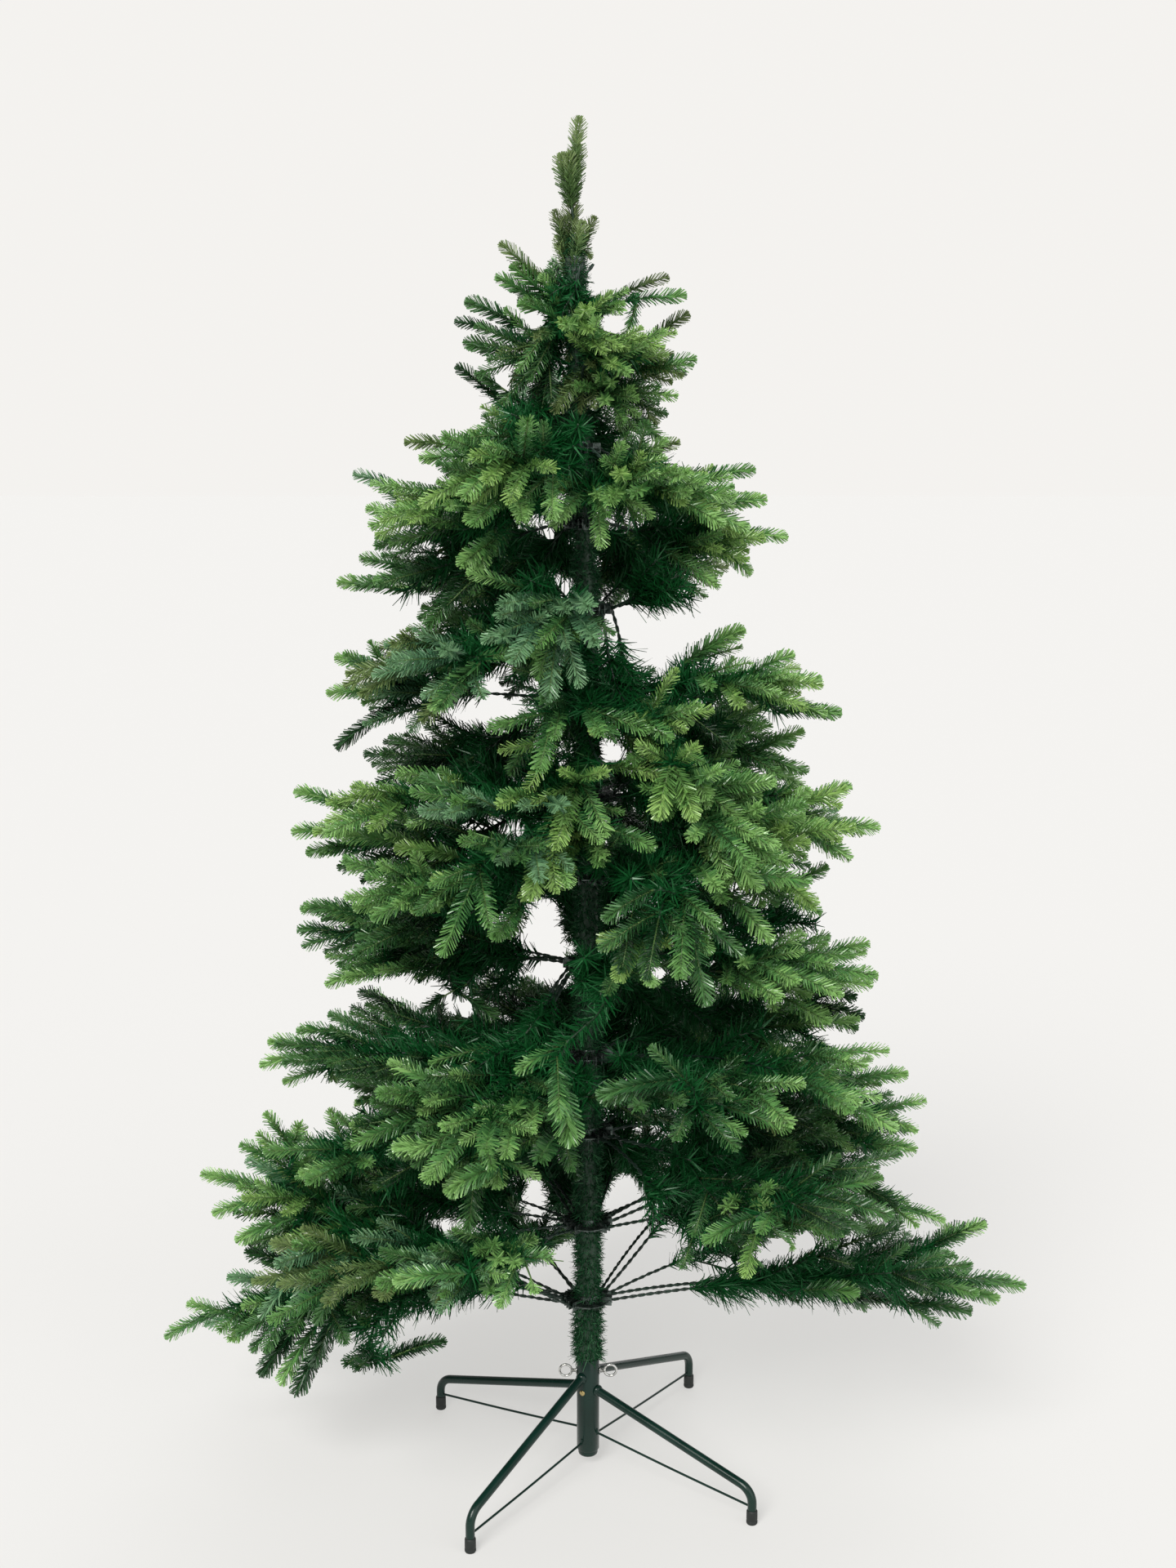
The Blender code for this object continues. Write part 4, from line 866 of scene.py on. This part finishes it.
WRAP_FROM, WRAP_TO, WIND = 0.1605, 1.660, 0.0150
z = np.linspace(WRAP_FROM, WRAP_TO, 700)
sides = 22
theta = np.linspace(0, 2 * math.pi, sides, endpoint=False)
zz, tt = np.meshgrid(z, theta, indexing="ij")
lap = (zz / WIND - tt / (2 * math.pi)) % 1.0
r = pole_radius(zz) + 0.0008 + 0.0016 * (1 - lap) ** 0.7 + 0.0005 * np.sin(tt * 7 + zz * 900)
verts = np.stack([r * np.cos(tt) + lean(zz), r * np.sin(tt), zz], 2).reshape(-1, 3)
i, j = (x.ravel() for x in np.meshgrid(np.arange(len(z) - 1), np.arange(sides), indexing="ij"))
j2 = (j + 1) % sides
wrap_faces = np.stack([i * sides + j, i * sides + j2, (i + 1) * sides + j2, (i + 1) * sides + j], 1)
wrap_faces = np.concatenate([wrap_faces[:, [0, 1, 2]], wrap_faces[:, [0, 2, 3]]])
top = len(verts)
verts = np.concatenate([verts, [[lean(WRAP_FROM), 0, WRAP_FROM], [float(lean(WRAP_TO)), 0, WRAP_TO]]])
j = np.arange(sides)
wrap_faces = np.concatenate([wrap_faces, np.stack([np.full(sides, top), (j + 1) % sides, j], 1),
                             np.stack([np.full(sides, top + 1), top - sides + j, top - sides + (j + 1) % sides], 1)])
wrap_mesh = (verts, wrap_faces)

rng = np.random.default_rng(5)
n = 15000
z = WRAP_FROM + (WRAP_TO - WRAP_FROM) * rng.uniform(0, 1, n) ** 1.12
theta = rng.uniform(0, 2 * math.pi, n)
out = np.stack([np.cos(theta), np.sin(theta), 0 * z], 1)
round_ = np.stack([-np.sin(theta), np.cos(theta), 0 * z], 1)
p = out * (pole_radius(z) + 0.0012)[:, None] + np.stack([lean(z), 0 * z, z], 1)
d = units(out * rng.uniform(0.35, 1.0, (n, 1)) + round_ * rng.normal(0, 0.55, (n, 1)) + UP * rng.normal(-0.10, 0.62, (n, 1)))
length = np.where(z < 0.26, 0.0125, 0.0105) * rng.uniform(0.7, 1.25, n)
pale = rng.random(n) < 0.28
for part, chosen in (("", ~pale), ("_pale", pale)):
    deal("cut_pole" + part, p[chosen], d[chosen], out[chosen], length[chosen], np.full(chosen.sum(), 0.0017), d[chosen] * 0.0 - UP * 0.10)
CUTS["pole"] = ((0.010, 0.062, 0.023), (0.044, 0.160, 0.066))

# ------------------------------------------------------------------- pieces
foliage_nodes = [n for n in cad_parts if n.startswith("foliage_")]
bough_nodes = [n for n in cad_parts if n.startswith("bough_")]
rng = np.random.default_rng(11)
total_faces = 0
for name in sorted(needles):
    kind, tone = name.split("_")[0], name.split("_")[1]
    part = ("", "_pale").index(name[len("cut_" + tone):]) if kind == "cut" else ("_old", "", "_young").index(name[len("tip_" + tone):])
    verts, faces = needle_arrays(needles[name], kind == "tip", rng)
    colour = (TIPS if kind == "tip" else CUTS)[tone][part]
    most = 190000
    pieces = max(1, -(-len(faces) // most))
    each = -(-len(faces) // (2 * pieces)) * 2
    mat = plain("needles_" + name, colour, 0.27 if kind == "tip" else 0.34, specular=(0.22, 0.56, 0.74)[part] if kind == "tip" else (0.36 if part else 0.12))
    for k in range(pieces):
        f = faces[k * each:(k + 1) * each]
        base = k * each // 2 * 4
        v = verts[base:base + len(f) // 2 * 4]
        piece = make(f"needles_{name}" + (f"_{k + 1}" if pieces > 1 else ""), v, f - base, mat)
        if tone == "pole":
            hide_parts("pole")
        else:
            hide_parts(*foliage_nodes)
        total_faces += len(f)

steel = mottled("bough_wire", (0.008, 0.020, 0.014), (0.018, 0.045, 0.030), 60.0, 0.42, 0.10, bump=0.25)
piece = make("bough_wires", *wires.done(), steel, smooth=True)
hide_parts(*bough_nodes)
piece = make("twig_wires", *twigs.done(), mottled("twig_wire", (0.010, 0.030, 0.014), (0.025, 0.060, 0.028), 60.0, 0.5, 0.1), smooth=True)
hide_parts(*foliage_nodes)
piece = make("tip_stalks", *stalks.done(), mottled("tip_stalk", (0.060, 0.130, 0.035), (0.120, 0.200, 0.060), 40.0, 0.55, 0.08), smooth=True)
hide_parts(*foliage_nodes)
piece = make("pole_wrap", *wrap_mesh, mottled("pole_ribbon", (0.006, 0.030, 0.012), (0.014, 0.060, 0.026), 160.0, 0.5, 0.12, bump=0.5, bump_scale=900.0), smooth=True, sharp=50)
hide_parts("pole")
print({k: sum(len(r[0]) for r in v) * 2 for k, v in needles.items()})
print("needle faces", total_faces, "wires", len(np.concatenate(wires.faces)), "twigs", len(np.concatenate(twigs.faces)), "stalks", len(np.concatenate(stalks.faces)), "tips", tips_made)

# ------------------------------------------------------------------- collars
collars = Bag()
for number, hub in enumerate(HUBS):
    wide = HUB_R if hub < HUB_CHANGE else HUB_TOP_R if hub < 1.45 else 0.0130
    inner = float(pole_radius(np.array([hub]))[0]) + 0.0004
    cx = float(lean(hub))
    h = HUB_H / 2
    collars.add(*turned([
        (inner, hub - h), (inner + 0.0022, hub - h), (inner + 0.0026, hub - h + 0.0008), (inner + 0.0026, hub - 0.0012),
        (wide - 0.0012, hub - 0.0012), (wide, hub - 0.0006), (wide, hub + 0.0006), (wide - 0.0012, hub + 0.0012),
        (inner + 0.0026, hub + 0.0012), (inner + 0.0026, hub + h - 0.0008), (inner + 0.0022, hub + h), (inner, hub + h),
    ], 28, centre=(cx, 0.0), ring=True))
    for row in BOUGHS:
        if row[0] != number + 1 or hub > 1.45:
            continue
        az = row[1]
        radial, sideways = polar(az, 1.0, 0.0), polar(az + 90, 1.0, 0.0)
        centre = np.array([cx, 0, hub])
        # bracket of bent strip: two cheeks and the pin that the bough turns on
        for s in (-1, 1):
            a = centre + radial * (inner + 0.003) + sideways * s * 0.0042
            b = centre + radial * (wide + 0.0030) + sideways * s * 0.0042
            corners = []
            for p in (a, b):
                for dz in (-0.0062, 0.0062):
                    for dy in (-0.0006, 0.0006):
                        corners.append(p + UP * dz + sideways * dy)
            corners = np.array(corners)
            collars.add(corners, [[0, 1, 3, 2], [4, 6, 7, 5], [0, 4, 5, 1], [2, 3, 7, 6], [0, 2, 6, 4], [1, 5, 7, 3]])
        pin = centre + radial * (wide + 0.0004)
        collars.add(*tube([pin - sideways * 0.0062, pin, pin + sideways * 0.0062], 0.0013, 8))
piece = make("collars", *collars.done(), mottled("collar_steel", (0.020, 0.040, 0.032), (0.150, 0.180, 0.165), 160.0, 0.26, 0.10, bump=0.3, metallic=0.7), smooth=True, sharp=35)
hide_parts("pole")

# ------------------------------------------------------------------- stand
enamel = mottled("stand_enamel", (0.0028, 0.017, 0.012), (0.0050, 0.026, 0.019), 18.0, 0.27, 0.06, bump=0.10, bump_scale=650.0, specular=0.30, coat=0.10)
rubber = mottled("foot_rubber", (0.006, 0.009, 0.008), (0.014, 0.018, 0.016), 90.0, 0.62, 0.08, bump=0.3)
zinc = mottled("zinc", (0.50, 0.50, 0.48), (0.78, 0.78, 0.76), 240.0, 0.22, 0.08, bump=0.12, bump_scale=1200.0, metallic=1.0)
brass = mottled("rivet_brass", (0.35, 0.26, 0.10), (0.62, 0.50, 0.24), 500.0, 0.35, 0.08, metallic=1.0)

bag = Bag()
bag.add(*turned([
    (0.0095, TUBE_BOTTOM), (0.0118, TUBE_BOTTOM + 0.0004), (0.0131, TUBE_BOTTOM + 0.0016), (0.0136, TUBE_BOTTOM + 0.0032), (0.0136, TUBE_BOTTOM + 0.0078),
    (TUBE_R - 0.0005, TUBE_BOTTOM + 0.0086), (TUBE_R, TUBE_BOTTOM + 0.0096), (TUBE_R, TUBE_TOP - 0.0008), (TUBE_R - 0.0004, TUBE_TOP - 0.0002),
    (TUBE_R - 0.0009, TUBE_TOP), (TUBE_BORE_R + 0.0003, TUBE_TOP), (TUBE_BORE_R, TUBE_TOP - 0.0006), (TUBE_BORE_R, 0.030),
], 64))
piece = make("stand_tube_detail", *bag.done(), enamel, smooth=True, sharp=40)
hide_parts("stand_tube")

bag = Bag()
bag.add(*turned([(0.0128, 0.0310), (0.0128, 0.1620)], 40))
piece = make("pole_foot", *bag.done(), enamel, smooth=True, sharp=40)
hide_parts("pole")

legs, feet, struts, rivets = Bag(), Bag(), Bag(), Bag()
for place, (azimuth, z_axis, z_foot, z_strut) in LEGS.items():
    azimuth += SKEW

    def on_leg(r):
        return z_axis + (z_foot - z_axis) * r / LEG_REACH

    slope = math.atan2(z_axis - z_foot, LEG_REACH)
    turn = math.pi / 2 - slope
    back = LEG_BEND * math.tan(turn / 2)
    bend_r = LEG_REACH - back * math.cos(slope)
    bend_z = on_leg(LEG_REACH) + back * math.sin(slope)
    centre_r, centre_z = bend_r - LEG_BEND * math.sin(slope), bend_z - LEG_BEND * math.cos(slope)
    path = [polar(azimuth, r, on_leg(r)) for r in np.linspace(LEG_START - 0.0010, bend_r - 0.002, 12)]
    for k in range(13):
        a = math.pi / 2 - slope - turn * k / 12
        path.append(polar(azimuth, centre_r + LEG_BEND * math.cos(a), centre_z + LEG_BEND * math.sin(a)))
    path.append(polar(azimuth, LEG_REACH, FOOT_H + 0.0004))
    legs.add(*tube(path, LEG_R, 28))
    # saddle that joins the leg to the tube
    legs.add(*tube([polar(azimuth, TUBE_R - 0.0004, on_leg(TUBE_R)), polar(azimuth, TUBE_R + 0.0012, on_leg(TUBE_R + 0.0012)),
                    polar(azimuth, TUBE_R + 0.0034, on_leg(TUBE_R + 0.0034)), polar(azimuth, TUBE_R + 0.0042, on_leg(TUBE_R + 0.0042))],
                   [0.0078, 0.0078, 0.0070, 0.0060], 28))
    x, y, _ = polar(azimuth, LEG_REACH, 0.0)
    feet.add(*turned([
        (FOOT_R - 0.0022, 0.0), (FOOT_R - 0.0008, 0.0005), (FOOT_R, 0.0020), (FOOT_R, 0.0048), (FOOT_R - 0.0005, 0.0056), (FOOT_R - 0.0005, 0.0066),
        (FOOT_R - 0.0001, 0.0074), (FOOT_R - 0.0002, FOOT_H - 0.0018), (FOOT_R - 0.0008, FOOT_H - 0.0004), (FOOT_R - 0.0014, FOOT_H),
    ], 36, centre=(x, y)))
    start = polar(azimuth, TUBE_R - 0.0006, z_strut)
    end = polar(azimuth, LEG_REACH - LEG_R + 0.0008, FOOT_H + 0.0042)
    middle = (start + end) / 2 - UP * 0.0012
    struts.add(*tube(bezier(start, middle, middle, end, 14), STRUT_R, 12))
    # small hook of the strut on the tube
    struts.add(*tube([start + UP * 0.0052, start + UP * 0.0030 + polar(azimuth, 0.0010, 0), start, start - UP * 0.003], 0.0017, 10))
piece = make("legs_detail", *legs.done(), enamel, smooth=True, sharp=40)
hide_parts(*[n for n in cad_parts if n.startswith("leg_")])
piece = make("feet_detail", *feet.done(), rubber, smooth=True, sharp=40)
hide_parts(*[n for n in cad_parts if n.startswith("foot_")])
piece = make("struts_detail", *struts.done(), enamel, smooth=True, sharp=40)
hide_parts(*[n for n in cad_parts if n.startswith("strut_")])

# domed rivets through the tube
for azimuth, height in ((-121.0, 0.1125), (59.0, 0.1125)):
    d = polar(azimuth, 1.0, 0.0)
    at = polar(azimuth, TUBE_R, height)
    rivets.add(*tube([at - d * 0.001, at + d * 0.0004, at + d * 0.0012, at + d * 0.0017, at + d * 0.0019], [0.0040, 0.0040, 0.0034, 0.0020, 0.0004], 20))
piece = make("rivets", *rivets.done(), brass, smooth=True, sharp=50)
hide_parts("stand_tube")

eyes = Bag()
for side in (-1, 1):
    a = np.linspace(0, 2 * math.pi, 61)
    ring = np.stack([side * EYE_OUT + EYE_RING_R * np.cos(a), 0 * a, EYE_Z + EYE_RING_R * np.sin(a)], 1)
    b = np.linspace(0, 2 * math.pi, 14, endpoint=False)
    out = np.stack([np.cos(a), 0 * a, np.sin(a)], 1)
    grid = ring[:-1, None] + EYE_WIRE_R * (out[:-1, None] * np.cos(b)[None, :, None] + np.array([0, 1.0, 0]) * np.sin(b)[None, :, None])
    i, j = (x.ravel() for x in np.meshgrid(np.arange(60), np.arange(14), indexing="ij"))
    i2, j2 = (i + 1) % 60, (j + 1) % 14
    eyes.add(grid.reshape(-1, 3), np.stack([i * 14 + j, i * 14 + j2, i2 * 14 + j2, i2 * 14 + j], 1)[:, ::-1])
    # threaded shank and a flat washer against the tube
    x = np.linspace(TUBE_BORE_R + 0.0003, EYE_OUT - EYE_RING_R + 0.0012, 40)
    thread = 0.0024 + 0.0004 * np.cos(x / 0.0010 * 2 * math.pi)
    eyes.add(*tube(np.stack([side * x, 0 * x, 0 * x + EYE_Z], 1), thread, 18))
    x = np.array([TUBE_R + 0.0001, TUBE_R + 0.0003, TUBE_R + 0.0011, TUBE_R + 0.0013])
    eyes.add(*tube(np.stack([side * x, 0 * x, 0 * x + EYE_Z], 1), [0.0052, 0.0056, 0.0056, 0.0052], 26))
piece = make("eye_bolts", *eyes.done(), zinc, smooth=True, sharp=50)
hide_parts("eye_bolt_left", "eye_bolt_right")

# ------------------------------------------------------------------- studio
bpy.ops.mesh.primitive_plane_add(size=60.0, location=(0, 0, 0))
floor = bpy.context.active_object
floor.name = "floor"
pale = plain("floor_pale", (0.32, 0.32, 0.32), 1.0, specular=0.0)
pale.node_tree.nodes["Principled BSDF"].inputs["Emission Color"].default_value = (1.0, 0.985, 0.955, 1.0)
pale.node_tree.nodes["Principled BSDF"].inputs["Emission Strength"].default_value = 0.484
floor.data.materials.append(pale)

scene = bpy.context.scene
scene.view_settings.view_transform = "Standard"
world = bpy.data.worlds.new("studio")
scene.world = world
world.use_nodes = True
tree = world.node_tree
back = tree.nodes["Background"]
back.inputs["Color"].default_value = (1.0, 0.99, 0.97, 1.0)
back.inputs["Strength"].default_value = 0.34
seen = tree.nodes.new("ShaderNodeBackground")
seen.inputs["Color"].default_value = (0.905, 0.890, 0.865, 1.0)
seen.inputs["Strength"].default_value = 1.0
path = tree.nodes.new("ShaderNodeLightPath")
mix = tree.nodes.new("ShaderNodeMixShader")
tree.links.new(path.outputs["Is Camera Ray"], mix.inputs["Fac"])
tree.links.new(back.outputs["Background"], mix.inputs[1])
tree.links.new(seen.outputs["Background"], mix.inputs[2])
tree.links.new(mix.outputs["Shader"], tree.nodes["World Output"].inputs["Surface"])


def sun(name, azimuth, elevation, strength, angle, colour):
    data = bpy.data.lights.new(name, "SUN")
    data.energy, data.angle, data.color = strength, math.radians(angle), colour
    obj = bpy.data.objects.new(name, data)
    a, e = math.radians(azimuth), math.radians(elevation)
    obj.rotation_euler = (math.pi / 2 - e, 0.0, a)
    scene.collection.objects.link(obj)
    return obj


sun("key", -24.0, 42.0, 3.0, 30.0, (1.0, 0.985, 0.95))
sun("fill", 42.0, 28.0, 1.0, 60.0, (0.98, 0.99, 1.0))
sun("back", 160.0, 40.0, 1.0, 60.0, (0.98, 0.99, 1.0))

camera = bpy.data.objects.new("camera", bpy.data.cameras.new("camera"))
camera.data.lens, camera.data.sensor_width, camera.data.sensor_fit = LENS, 36.0, "AUTO"
camera.location = tuple(CAMERA_AT)
camera.rotation_euler = (math.pi / 2 - CAMERA_DOWN, 0.0, 0.0)
camera.data.clip_start, camera.data.clip_end = 0.05, 200.0
scene.collection.objects.link(camera)
scene.camera = camera
